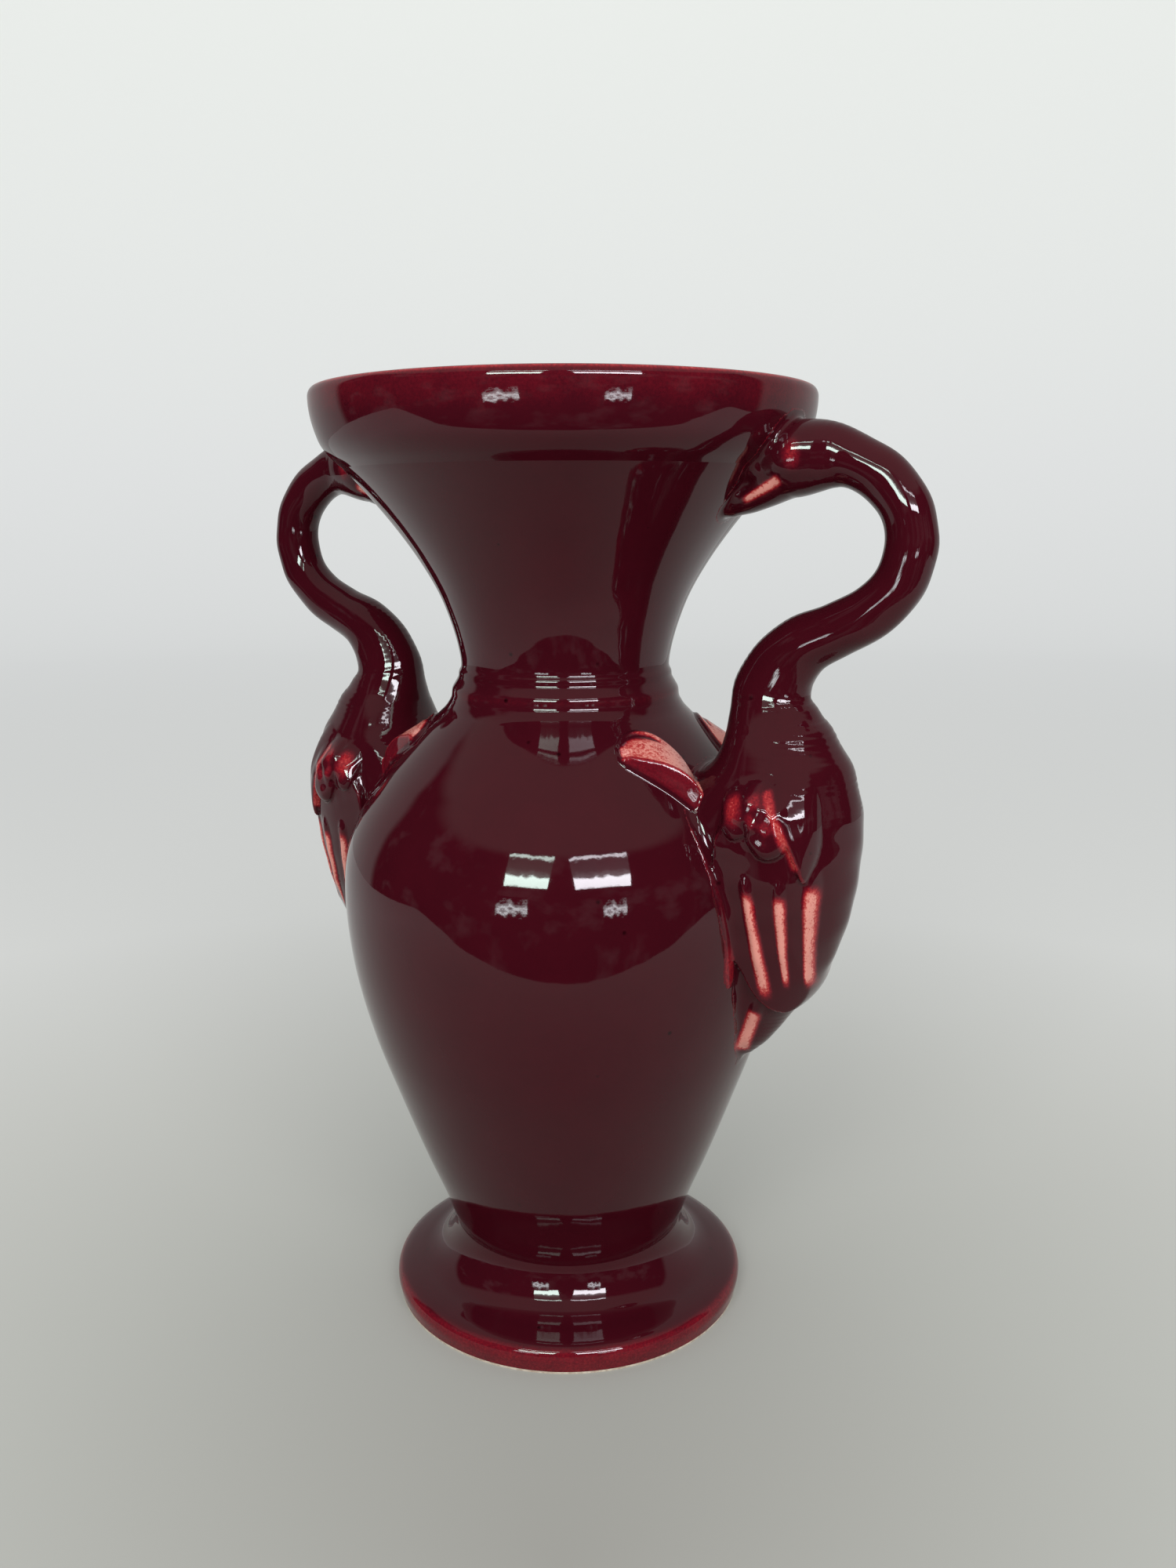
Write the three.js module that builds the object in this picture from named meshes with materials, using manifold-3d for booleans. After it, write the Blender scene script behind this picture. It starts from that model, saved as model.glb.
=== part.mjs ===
// Baluster vase with two swan handles, glazed earthenware, in millimetres, +Z up.
// The origin is the middle of the foot's underside. The two swans face each other along X,
// and the vase is the same on both sides of the XZ plane and of the YZ plane.
import * as THREE from 'three';
import { mergeVertices } from 'three/addons/utils/BufferGeometryUtils.js';
import Module from 'manifold-3d';

const wasm = await Module();
wasm.setup();

// Driving dimensions of the vase. The foot, body, neck and rim stand on each other.

const lutingGap = 0.3;          // slip joint between two pieces of clay
const wall = 5;                 // body and neck wall
const floorThickness = 7;

const footHeight = 22;
const footRadius = 53;          // widest line of the foot's rounded edge
const footEdgeHeight = 4.6;     // height of that line
const footRingSetback = 1;      // bare ring under the foot, in from the widest line
const footRingWidth = 8;        // flat bearing face of that ring
const footDiscHeight = 8.8;     // top of the disc, where the cove begins
const footDiscSlope = 6.5;      // width of the disc's gently sloping top
const footRecessDepth = 11;     // hollow under the foot
const waistRadius = 34.6;       // stem between foot and belly

const bodyHeight = 156;
const bellyRise = 104;          // from the waist up to the widest line
const bellyRadius = 64.5;
const grooveRadius = 35.4;      // groove under the collar

const neckHeight = 67;
const collarRadius = 33.2;      // rounded bead at the bottom of the neck
const collarRise = 5.6;         // from the groove up to the middle of the bead
const throatRadius = 30.1;      // narrowest place of the neck
const throatRise = 14;          // from the groove up to the throat
const flareRadius = 61.5;       // outside of the funnel where it meets the rim

const rimHeight = 21;
const rimRadius = 69.2;
const rimWall = 6;
const rimUndercut = 6;          // height of the rounded underside of the upright band
const rimLipRadius = 2;         // rounded top edge of the band

// Driving dimensions of a swan, drawn once for +X. Its own plane is XZ.

const gripRadius = 6.6;         // swan's neck, which the fingers hold
const gripReach = 98.9;         // middle of the neck at its furthest from the vase's axis
const crookRadius = 18.5;       // round bend of the neck, at its middle
const crookDrop = 18.5;         // middle of the bend, below the bottom of the rim
const neckFootRise = 9;         // joint of the swan's neck with its body, above the groove
const neckFootReach = 63.4;
const neckFootRadius = 11.2;
const headHalfHeight = 8.8;
const headHalfWidth = 10.5;
const beakDrop = 11;            // tip of the beak, below the bottom of the rim
const beakTipRadius = 2.2;
const breastProud = 24;         // how far the breast stands off the belly
const breastHalfWidth = 19;
const tailDrop = 98;            // tip of the tail, below the groove
const wingThickness = 2.4;
const wingTopDrop = 13;         // top and bottom of the folded wing, below the groove
const wingBottomDrop = 78;
const wingOverhang = 6;         // height in which the wing's lower end stands off the tail
const tipRootAngle = 15;        // spread wing tip: its root and its point, round the vase in
const tipPointAngle = 41;       // degrees from the swan's plane
const tipRootDrop = 22.5;       // its lower edge at root and point, below the groove
const tipPointDrop = 9.5;
const tipBreadth = 15.5;        // height from its lower edge to its upper edge
const tipFrontHeight = 7;       // height of its upright front

// How finely round things are divided

const turnSides = 48;
const neckSides = 12;
const bodySides = 20;
const wingSteps = 10;
const degree = Math.PI / 180;

const glaze = { color: 0x5a0a17, roughness: 0.08, metalness: 0 };

// Heights that follow

const neckBase = footHeight + bodyHeight;
const rimBase = neckBase + neckHeight;
const vaseHeight = rimBase + rimHeight;
const bellyHeight = footHeight + bellyRise;

// Turned outlines. Each is a list of points (radius, height).

const { lerp, clamp, mapLinear } = THREE.MathUtils;

function v2(radius, height) {
  return new THREE.Vector2(radius, height);
}

function smooth(points, count) {
  return new THREE.SplineCurve(points).getPoints(count);
}

function shifted(points, distance) {
  // The outline moved outwards, or inwards where negative, by a distance square to itself.
  return points.map((point, i) => {
    const before = points[Math.max(i - 1, 0)];
    const after = points[Math.min(i + 1, points.length - 1)];
    const along = after.clone().sub(before).normalize();
    return v2(Math.max(point.x + along.y * distance, 0), point.y - along.x * distance);
  });
}

function within(points, low, high) {
  return points.filter((point) => point.y > low && point.y < high);
}

const footRingRadius = footRadius - footRingSetback;
const discRadius = footRadius - footDiscSlope;
const coveWidth = discRadius - waistRadius;
const coveHeight = footHeight - footDiscHeight;
const footOutside = [
  v2(footRingRadius, 0),
  v2(footRadius - 0.7 * footRingSetback, 0.4 * footEdgeHeight),
  v2(footRadius, footEdgeHeight),
  v2(footRadius - footRingSetback, 0.5 * (footEdgeHeight + footDiscHeight)),
  ...smooth([
    v2(discRadius + 0.45 * footDiscSlope, 0.9 * footDiscHeight),
    v2(discRadius, footDiscHeight),
    v2(waistRadius + 0.55 * coveWidth, footDiscHeight + 0.24 * coveHeight),
    v2(waistRadius + 0.2 * coveWidth, footDiscHeight + 0.58 * coveHeight),
    v2(waistRadius, footHeight),
  ], 8),
];

const bellySwell = bellyRadius - waistRadius;
const shoulderFall = bellyRadius - grooveRadius;
const shoulderHeight = neckBase - bellyHeight;
const bodyOutside = smooth([
  v2(waistRadius, footHeight + lutingGap),
  v2(waistRadius + 0.11 * bellySwell, footHeight + 0.1 * bellyRise),
  v2(waistRadius + 0.4 * bellySwell, footHeight + 0.3 * bellyRise),
  v2(waistRadius + 0.8 * bellySwell, footHeight + 0.6 * bellyRise),
  v2(waistRadius + 0.96 * bellySwell, footHeight + 0.82 * bellyRise),
  v2(bellyRadius, bellyHeight),
  v2(bellyRadius - 0.12 * shoulderFall, bellyHeight + 0.39 * shoulderHeight),
  v2(bellyRadius - 0.46 * shoulderFall, bellyHeight + 0.67 * shoulderHeight),
  v2(bellyRadius - 0.72 * shoulderFall, bellyHeight + 0.83 * shoulderHeight),
  v2(grooveRadius, neckBase),
], 20);

const throatHeight = neckBase + throatRise;
const beadHeight = neckBase + collarRise;
const beadProud = collarRadius - throatRadius;
const beadToThroat = throatRise - collarRise;
const funnelHeight = rimBase - throatHeight;
const funnelFlare = flareRadius - throatRadius;
const neckOutside = [
  ...smooth([
    v2(collarRadius + 0.4 * beadProud, neckBase + lutingGap),
    v2(collarRadius + 0.03 * beadProud, beadHeight - 0.4 * collarRise),
    v2(collarRadius, beadHeight),
    v2(collarRadius - 0.45 * beadProud, beadHeight + 0.31 * beadToThroat),
    v2(throatRadius + 0.1 * beadProud, beadHeight + 0.62 * beadToThroat),
    v2(throatRadius, throatHeight),
  ], 10),
  ...smooth([
    v2(throatRadius + 0.02 * funnelFlare, throatHeight + 0.07 * funnelHeight),
    v2(throatRadius + 0.15 * funnelFlare, throatHeight + 0.34 * funnelHeight),
    v2(throatRadius + 0.47 * funnelFlare, throatHeight + 0.64 * funnelHeight),
    v2(throatRadius + 0.79 * funnelFlare, throatHeight + 0.87 * funnelHeight),
    v2(flareRadius, rimBase),
  ], 9),
];

const rimSpread = rimRadius - flareRadius;
const bandBase = rimBase + rimUndercut;
const bandHeight = rimHeight - rimUndercut;
const rimOutside = [
  v2(flareRadius, rimBase + lutingGap),
  v2(flareRadius + 0.45 * rimSpread, rimBase + 0.6 * rimUndercut),
  v2(flareRadius + 0.65 * rimSpread, bandBase),
  v2(flareRadius + 0.88 * rimSpread, bandBase + 0.33 * bandHeight),
  v2(rimRadius, bandBase + 0.66 * bandHeight),
  v2(rimRadius, vaseHeight - rimLipRadius),
  v2(rimRadius - 0.6 * rimLipRadius, vaseHeight - 0.25 * rimLipRadius),
  v2(rimRadius - 1.5 * rimLipRadius, vaseHeight),
];

const vaseOutside = [...bodyOutside, ...neckOutside, ...rimOutside.slice(1)];

function vaseRadius(height) {
  // Outside radius of the vase at a height between the waist and the top.
  const above = vaseOutside.findIndex((point) => point.y > height);
  const [low, high] = [vaseOutside[above - 1], vaseOutside[above]];
  return mapLinear(height, low.y, high.y, low.x, high.x);
}

function lathe(outline) {
  // Turned about Z.
  return new THREE.LatheGeometry(outline, turnSides).rotateX(Math.PI / 2);
}

function ringOf(outline) {
  return lathe([...outline, outline[0].clone()]);
}

// Solids

function manifoldOf(geometry) {
  const bare = geometry.clone();
  bare.deleteAttribute('normal');
  bare.deleteAttribute('uv');
  const merged = mergeVertices(bare, 1e-4);
  const corners = merged.index.array;
  const kept = [];
  for (let i = 0; i < corners.length; i += 3) {
    const [a, b, c] = corners.slice(i, i + 3);
    if (a !== b && b !== c && c !== a) kept.push(a, b, c);
  }
  return new wasm.Manifold(new wasm.Mesh({
    numProp: 3,
    vertProperties: new Float32Array(merged.attributes.position.array),
    triVerts: new Uint32Array(kept),
  }));
}

function geometryOf(manifold) {
  const mesh = manifold.getMesh();
  const geometry = new THREE.BufferGeometry();
  geometry.setAttribute('position', new THREE.BufferAttribute(new Float32Array(mesh.vertProperties), 3));
  geometry.setIndex(new THREE.BufferAttribute(new Uint32Array(mesh.triVerts), 1));
  return geometry;
}

function mirrored(geometry, axis) {
  // The same solid on the other side of the plane square to the axis.
  const copy = geometry.clone();
  const position = copy.attributes.position;
  for (let i = 0; i < position.count; i += 1) {
    position.setComponent(i, axis, -position.getComponent(i, axis));
  }
  copy.setIndex([...copy.index.array].reverse());
  return copy;
}

function loft(rings) {
  // A closed skin through rings of equal length, with a fan over each end. The rings turn
  // counterclockwise as seen from the side that the loft goes towards.
  const sides = rings[0].length;
  const positions = [];
  const add = (point) => positions.push(point.x, point.y, point.z);
  rings.forEach((ring) => ring.forEach(add));
  const middle = (ring) => ring.reduce((sum, p) => sum.add(p), new THREE.Vector3()).divideScalar(sides);
  add(middle(rings[0]));
  add(middle(rings[rings.length - 1]));
  const first = rings.length * sides;
  const lastRing = (rings.length - 1) * sides;
  const index = [];
  for (let i = 0; i < sides; i += 1) {
    const next = (i + 1) % sides;
    for (let ring = 0; ring < rings.length - 1; ring += 1) {
      const low = ring * sides;
      const high = low + sides;
      index.push(low + i, low + next, high + next, low + i, high + next, high + i);
    }
    index.push(first, next, i, first + 1, lastRing + i, lastRing + next);
  }
  const geometry = new THREE.BufferGeometry();
  geometry.setAttribute('position', new THREE.Float32BufferAttribute(positions, 3));
  geometry.setIndex(index);
  return geometry;
}

function blended(stations, at) {
  // The values at a place between two stations. A station is its own place, then its values.
  const above = Math.max(stations.findIndex(([place]) => place >= at), 1);
  const [[lowAt, ...low], [highAt, ...high]] = [stations[above - 1], stations[above]];
  return low.map((value, i) => mapLinear(at, lowAt, highAt, value, high[i]));
}

const vaseGrown = manifoldOf(lathe([
  v2(0, footHeight),
  ...shifted(vaseOutside, lutingGap),
  v2(0, vaseHeight + lutingGap),
]));

// The swan's neck: an S from its foot into a round crook, then the head down to the beak.

const neckFoot = v2(neckFootReach, neckBase + neckFootRise);
const crookCentre = v2(gripReach - crookRadius, rimBase - crookDrop);
const crookStart = -65;         // in degrees from straight out
const crookEnd = 75;
const beakTip = v2(vaseRadius(rimBase - beakDrop) - 1, rimBase - beakDrop);

function onCrook(angle) {
  const out = v2(Math.cos(angle * degree), Math.sin(angle * degree));
  return crookCentre.clone().addScaledVector(out, crookRadius);
}

function alongCrook(angle) {
  return v2(-Math.sin(angle * degree), Math.cos(angle * degree));
}

function neckSpine() {
  // The neck's middle line in the swan's plane, as (reach, height).
  const start = onCrook(crookStart);
  const end = onCrook(crookEnd);
  const lowBend = new THREE.CubicBezierCurve(
    neckFoot,
    v2(neckFoot.x + 1.1, lerp(neckFoot.y, start.y, 0.35)),
    start.clone().addScaledVector(alongCrook(crookStart), -0.65 * crookRadius),
    start,
  );
  const head = new THREE.CubicBezierCurve(
    end,
    end.clone().addScaledVector(alongCrook(crookEnd), 0.55 * crookRadius).add(v2(0, 0.25 * headHalfHeight)),
    v2(lerp(beakTip.x, end.x, 0.34), end.y + 0.3 * headHalfHeight),
    beakTip,
  );
  const crookSteps = 12;
  const crook = Array.from({ length: crookSteps }, (_, i) => onCrook(lerp(crookStart, crookEnd, i / crookSteps)));
  return [...lowBend.getPoints(7).slice(0, -1), ...crook, ...head.getPoints(8)];
}

// Half thickness in the swan's plane and half width across it, by the share of the length.
const neckSections = [
  [0, neckFootRadius, 0.86 * neckFootRadius],
  [0.06, 0.84 * neckFootRadius, 0.75 * neckFootRadius],
  [0.13, 0.72 * neckFootRadius, 0.68 * neckFootRadius],
  [0.22, 1.08 * gripRadius, 1.04 * gripRadius],
  [0.3, gripRadius, gripRadius],
  [0.68, gripRadius, gripRadius],
  [0.76, 0.97 * headHalfHeight, 0.7 * headHalfWidth],
  [0.83, headHalfHeight, headHalfWidth],
  [0.9, 0.74 * headHalfHeight, 0.82 * headHalfWidth],
  [0.96, 0.48 * headHalfHeight, 0.45 * headHalfWidth],
  [1, beakTipRadius, beakTipRadius],
];

function neckLoft() {
  const spine = neckSpine().map((point) => new THREE.Vector3(point.x, 0, point.y));
  const lengths = [0];
  spine.slice(1).forEach((point, i) => lengths.push(lengths[i] + point.distanceTo(spine[i])));
  const across = new THREE.Vector3(0, 1, 0);
  return loft(spine.map((centre, i) => {
    const before = spine[Math.max(i - 1, 0)];
    const after = spine[Math.min(i + 1, spine.length - 1)];
    const along = i === 0 ? new THREE.Vector3(0, 0, 1) : after.clone().sub(before).normalize();
    const inPlane = across.clone().cross(along);
    const [thick, wide] = blended(neckSections, lengths[i] / lengths[spine.length - 1]);
    return Array.from({ length: neckSides }, (_, side) => {
      const angle = (side / neckSides) * 2 * Math.PI;
      return centre.clone()
        .addScaledVector(inPlane, thick * Math.cos(angle))
        .addScaledVector(across, wide * Math.sin(angle));
    });
  }));
}

// Level sections of the swan's body, from the neck joint at 0 to the tip of the tail at 1: how far
// it stands off the belly and how wide it is there, as shares of the breast's sizes.
const bodySections = [
  [0, 0.42, 0.5],
  [0.065, 0.49, 0.58],
  [0.12, 0.69, 0.71],
  [0.25, 0.94, 0.92],
  [0.38, 0.99, 1],
  [0.53, 0.92, 0.9],
  [0.67, 0.73, 0.79],
  [0.775, 0.49, 0.66],
  [0.84, 0.37, 0.5],
  [0.91, 0.26, 0.34],
  [0.96, 0.17, 0.2],
  [1, 0.06, 0.1],
];
const bodyTop = neckFoot.y - lutingGap;
const tailTip = neckBase - tailDrop;
const bodySunk = 2.5;           // middle of a section, inside the vase's outline
const leanTop = neckBase - 4;   // the middles lean out over the shoulder up to the neck joint
const leanBottom = neckBase - 18;

function bodySection(height) {
  const [proud, width] = blended(bodySections, mapLinear(height, bodyTop, tailTip, 0, 1));
  const base = height > bellyHeight ? bellyRadius : vaseRadius(height);
  const lean = clamp(mapLinear(height, leanBottom, leanTop, 0, 1), 0, 1);
  const middle = lerp(base - bodySunk, neckFoot.x, lean);
  return { middle, depth: base + proud * breastProud - middle, halfWidth: width * breastHalfWidth, height };
}

function ellipsePoint({ middle, depth, halfWidth, height }, angle, grow) {
  return new THREE.Vector3(
    middle + (depth + grow) * Math.cos(angle),
    (halfWidth + grow) * Math.sin(angle),
    height,
  );
}

function bodyLoft(grow) {
  return loft(bodySections.map(([share]) => {
    const section = bodySection(lerp(bodyTop, tailTip, share));
    return Array.from({ length: bodySides }, (_, side) => (
      ellipsePoint(section, -(side / bodySides) * 2 * Math.PI, grow)
    ));
  }));
}

// The folded wing on one flank is a shell over the body. By the share of its height: fullness, and
// the angle round the body, in degrees from straight out, at which its front edge lies.
const wingSections = [
  [0, 0.15, 62],
  [0.05, 0.6, 52],
  [0.15, 0.9, 43],
  [0.3, 1, 37],
  [0.5, 1, 31],
  [0.7, 1, 26],
  [0.82, 1, 20],
  [0.92, 0.95, 20],
  [0.97, 0.8, 30],
  [1, 0.4, 44],
];
const wingTop = neckBase - wingTopDrop;
const wingBottom = neckBase - wingBottomDrop;
const wingBackAngle = 96;

function wingRing([share, fullness, wingFrontAngle]) {
  const height = lerp(wingTop, wingBottom, share);
  const under = bodySection(height);
  const over = { ...bodySection(Math.max(height, wingBottom + wingOverhang)), height };
  const outer = [];
  const inner = [];
  for (let i = 0; i <= wingSteps; i += 1) {
    const angle = -lerp(wingFrontAngle, wingBackAngle, i / wingSteps) * degree;
    const edge = Math.min(1, 0.1 + 4 * (i / wingSteps));
    outer.push(ellipsePoint(over, angle, lutingGap + wingThickness * fullness * edge));
    inner.push(ellipsePoint(under, angle, 0));
  }
  return [...outer, ...inner.reverse()];
}

// The spread wing tip is a petal on the vase's shoulder, from beside the swan to its point.
// Upright sections by the share of its length: breadth, and height of its front.
const tipSections = [
  [0, 0.6, 0.5],
  [0.12, 0.9, 0.8],
  [0.3, 1, 1],
  [0.5, 0.92, 1],
  [0.7, 0.75, 0.92],
  [0.88, 0.5, 0.7],
  [1, 0.2, 0.3],
];

function tipRing([share, breadth, front]) {
  const angle = -lerp(tipRootAngle, tipPointAngle, share) * degree;
  const low = neckBase - lerp(tipRootDrop, tipPointDrop, share);
  const high = Math.min(low + breadth * tipBreadth, neckBase - 1.5);
  const crest = v2(vaseRadius(low) + 0.2, low + front * tipFrontHeight);
  const back = v2(vaseRadius(high) + 0.6, high);
  const section = [
    v2(vaseRadius(low) - 1.5, low - 0.6),
    v2(vaseRadius(low) + 0.6, low + 0.3),
    crest,
    crest.clone().lerp(back, 0.5).add(v2(0.5, 0.6)),
    back,
    v2(vaseRadius(high) - 1.5, high - 0.8),
  ];
  return section.map((p) => new THREE.Vector3(p.x * Math.cos(angle), p.x * Math.sin(angle), p.y));
}

const swanBodyGrown = manifoldOf(bodyLoft(lutingGap));
const swanBody = manifoldOf(bodyLoft(0)).subtract(vaseGrown);
const swanNeck = manifoldOf(neckLoft()).subtract(vaseGrown);
const wing = manifoldOf(loft(wingSections.map(wingRing)))
  .subtract(swanBodyGrown)
  .subtract(vaseGrown);
const spreadTip = manifoldOf(loft(tipSections.map(tipRing)))
  .subtract(swanBodyGrown)
  .subtract(vaseGrown);

// Vase pieces

const cavityFloor = footHeight + floorThickness;
const openingRadius = grooveRadius - wall - 1.5;
const recessRadius = footRingRadius - footRingWidth;

const footGeometry = lathe([
  v2(0, footRecessDepth),
  v2(0.6 * recessRadius, 0.86 * footRecessDepth),
  v2(0.93 * recessRadius, 0.33 * footRecessDepth),
  v2(recessRadius, 0),
  ...footOutside,
  v2(0, footHeight),
]);

const bodyGeometry = lathe([
  v2(0, footHeight + lutingGap),
  ...bodyOutside,
  v2(openingRadius, neckBase),
  ...within(shifted(bodyOutside, -wall), cavityFloor + 2, neckBase - 1).reverse(),
  v2(waistRadius - wall - 3, cavityFloor),
  v2(0, cavityFloor),
]);

const neckGeometry = ringOf([
  ...neckOutside,
  v2(flareRadius - wall, rimBase),
  ...within(shifted(neckOutside, -wall), neckBase + lutingGap + 1, rimBase - 1).reverse(),
  v2(openingRadius, neckBase + lutingGap),
]);

const rimInside = rimRadius - rimWall;
const rimGeometry = ringOf([
  ...rimOutside,
  v2(rimInside, vaseHeight - 0.75 * rimLipRadius),
  v2(lerp(flareRadius - wall, rimInside, 0.55), rimBase + 0.45 * rimHeight),
  v2(flareRadius - wall, rimBase + lutingGap),
]);

// Assembly

const vase = new THREE.Group();

function place(name, geometry) {
  const mesh = new THREE.Mesh(geometry, new THREE.MeshStandardMaterial({ ...glaze }));
  mesh.name = name;
  vase.add(mesh);
}

place('foot', footGeometry);
place('body', bodyGeometry);
place('neck', neckGeometry);
place('rim', rimGeometry);

const X = 0;
const Y = 1;
const same = (geometry) => geometry;
const acrossX = (geometry) => mirrored(geometry, X);
for (const [side, turn] of [['right', same], ['left', acrossX]]) {
  place(`${side}_swan_body`, turn(geometryOf(swanBody)));
  place(`${side}_swan_neck`, turn(geometryOf(swanNeck)));
  place(`${side}_wing_front`, turn(geometryOf(wing)));
  place(`${side}_wing_back`, turn(mirrored(geometryOf(wing), Y)));
  place(`${side}_wing_tip_front`, turn(geometryOf(spreadTip)));
  place(`${side}_wing_tip_back`, turn(mirrored(geometryOf(spreadTip), Y)));
}

export default vase;
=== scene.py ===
"""Baluster vase with two swan handles in deep red glaze, on a pale floor."""

import math

import bpy
import numpy as np
from mathutils import Matrix, Vector


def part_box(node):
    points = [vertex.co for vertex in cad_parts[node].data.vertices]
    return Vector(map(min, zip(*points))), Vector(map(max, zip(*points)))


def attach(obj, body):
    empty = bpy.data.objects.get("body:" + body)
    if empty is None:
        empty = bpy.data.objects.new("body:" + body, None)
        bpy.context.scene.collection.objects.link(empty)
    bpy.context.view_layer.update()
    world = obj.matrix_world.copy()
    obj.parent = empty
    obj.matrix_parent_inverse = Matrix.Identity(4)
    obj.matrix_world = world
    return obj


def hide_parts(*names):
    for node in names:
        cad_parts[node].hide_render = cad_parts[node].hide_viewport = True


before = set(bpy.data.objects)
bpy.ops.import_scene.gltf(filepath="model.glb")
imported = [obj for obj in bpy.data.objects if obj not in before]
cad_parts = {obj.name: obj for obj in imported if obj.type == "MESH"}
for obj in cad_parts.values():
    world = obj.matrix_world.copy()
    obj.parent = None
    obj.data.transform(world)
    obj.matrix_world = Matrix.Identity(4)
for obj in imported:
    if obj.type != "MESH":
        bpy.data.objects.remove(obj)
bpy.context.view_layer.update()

MM = 0.001


# Sizes taken from the frame, in millimetres

def reach_and_top(name):
    """How far a CAD node reaches along +X, and its top."""
    _, (reach, _, top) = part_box(name)
    return reach / MM, round(top / MM, 1)


FOOT_RADIUS, FOOT_TOP = reach_and_top("foot")
_, BODY_TOP = reach_and_top("body")
_, NECK_TOP = reach_and_top("neck")
RIM_RADIUS, VASE_HEIGHT = reach_and_top("rim")

SIDES = 256  # round each turned piece, and the sweep of paper
WALL = 5.0
BASE_THICKNESS = 7.0  # of the body, over the foot
BASE_RADIUS = 26.0  # of the hollow there
COLLAR_BORE = 29.0  # radius of the hollow where the neck meets the body
MOUTH_BORE = 55.8  # and where the rim meets the neck
CORNER = 1.0  # the hollow's curve stops this short of a flat
SPACING = 0.8  # along a turned outline
SECTION_STEP, PLAN_STEP, VASE_STEP = 0.4, 0.25, 0.5  # of the tables of distances
SUNK = 0.06  # a skirt lies this far under the glaze that its form grows out of,
SKIRT = 0.8  # reaches this far beyond the form's fillet,
ROOT = 1.2  # and is rooted this deep in the wall

# Outlines (radius, height) that a smooth curve runs through
FOOT_OUTSIDE = [
    (52.2, 0), (52.6, 2), (FOOT_RADIUS, 4.6), (52.2, 6.7), (50.2, 8), (46.8, 9), (43.2, 9.8),
    (40.6, 11), (38.6, 12.7), (37, 14.9), (35.8, 17.3), (34.95, 19.8), (34.6, FOOT_TOP),
]
BODY_OUTSIDE = [
    (34.6, FOOT_TOP), (38, 32), (43.3, 45), (50.4, 64), (57.7, 85), (62.7, 106), (64.5, 126.5),
    (63.3, 139), (59.2, 149.5), (52, 159.8), (46.5, 166.3), (42.5, 170.7),
    (39.1, 174.4), (35.6, BODY_TOP),
]
NECK_OUTSIDE = [
    (35.6, BODY_TOP), (34.7, 178.9), (33.9, 179.9), (33.3, 180.9), (32.75, 181.9), (32.55, 182.7),
    (32.45, 183.8), (32.25, 184.8), (31.7, 185.8), (31, 187), (30.5, 188), (30.42, 188.8),
    (30.3, 189.5), (29.9, 190.3), (29.7, 190.9), (29.68, 191.8), (29.8, 193.2), (30.2, 195.5),
    (30.75, 198), (32.2, 203), (35.3, 211), (40.4, 220), (46.75, 229), (53.8, 237.6),
    (60.6, NECK_TOP),
]
NECK_CORE = [  # the same without the collar's beads, for the hollow
    NECK_OUTSIDE[0], (31.6, 186.0), (29.7, 192.3), (30.75, 198.0), *NECK_OUTSIDE[-6:],
]
RIM_OUTSIDE = [
    (60.6, NECK_TOP), (63.9, 248), (66.2, 250.9), (67.6, 254.2), (68.7, 258.2),
    (RIM_RADIUS, 262), (RIM_RADIUS - 0.1, 264.4), (68.2, 265.7), (66.6, VASE_HEIGHT),
    (64.3, 264.7), (62.4, 260), (59.6, 253), (MOUTH_BORE, NECK_TOP),
]
RIM_OUTER_POINTS = 9  # the first ones, which lie outside
FOOT_UNDERSIDE = [(0, 11), (24, 9.5), (40, 3.8), (44, 0)]
CLAY_TOP = 0.9  # the glaze stops this high above the floor

# How thin the glaze runs on the turned pieces, from 0 to 1, and where
FOOT_EDGE_THIN, FOOT_EDGE_HEIGHTS = 0.22, (8.0, 6.4)
BEAD_THIN, BEAD_HEIGHT, BEAD_HALF = 0.08, 183.8, 1.5
RIM_EDGE_THIN, RIM_EDGE_BEND = 0.50, (0.30, 0.62)
RIM_FACE_THIN, RIM_FACE_HEIGHTS, RIM_FACE_INNER = 0.12, (250, 264), 66


def between(t, start, end, a, b):
    """The value at t on a straight line from a, at start, to b, at end."""
    return (end - t) / (end - start) * a + (t - start) / (end - start) * b


def catmull_rom(points, spacing=SPACING):
    """Smooth curve through rows of numbers, at about an even spacing in the first two."""
    pts = np.array(points, float)
    ends = np.vstack([2 * pts[0] - pts[1], pts, 2 * pts[-1] - pts[-2]])
    out = []
    for i in range(len(pts) - 1):
        p0, p1, p2, p3 = ends[i:i + 4]
        knots = [0.0]
        for a, b in ((p0, p1), (p1, p2), (p2, p3)):
            knots.append(knots[-1] + max(math.sqrt(np.linalg.norm((b - a)[:2])), 1e-6))
        t0, t1, t2, t3 = knots
        count = max(2, int(round(np.linalg.norm((p2 - p1)[:2]) / spacing)))
        for t in np.linspace(t1, t2, count, endpoint=False):
            a1 = between(t, t0, t1, p0, p1)
            a2 = between(t, t1, t2, p1, p2)
            a3 = between(t, t2, t3, p2, p3)
            b1, b2 = between(t, t0, t2, a1, a2), between(t, t1, t3, a2, a3)
            out.append(between(t, t1, t2, b1, b2))
    out.append(pts[-1])
    return np.array(out)


def smoothstep(low, high, value):
    part = np.clip((value - low) / (high - low), 0, 1)
    return part * part * (3 - 2 * part)


def smooth_min(a, b, blend):
    """The lower of two distances, with the corner between them filled over blend."""
    h = np.maximum(blend - np.abs(a - b), 0) / blend
    return np.minimum(a, b) - h * h * blend / 4


def smooth_max(a, b, blend):
    return -smooth_min(-a, -b, blend)


# Distances. Each takes points as an array (n, 3) in millimetres and is negative inside.

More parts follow.
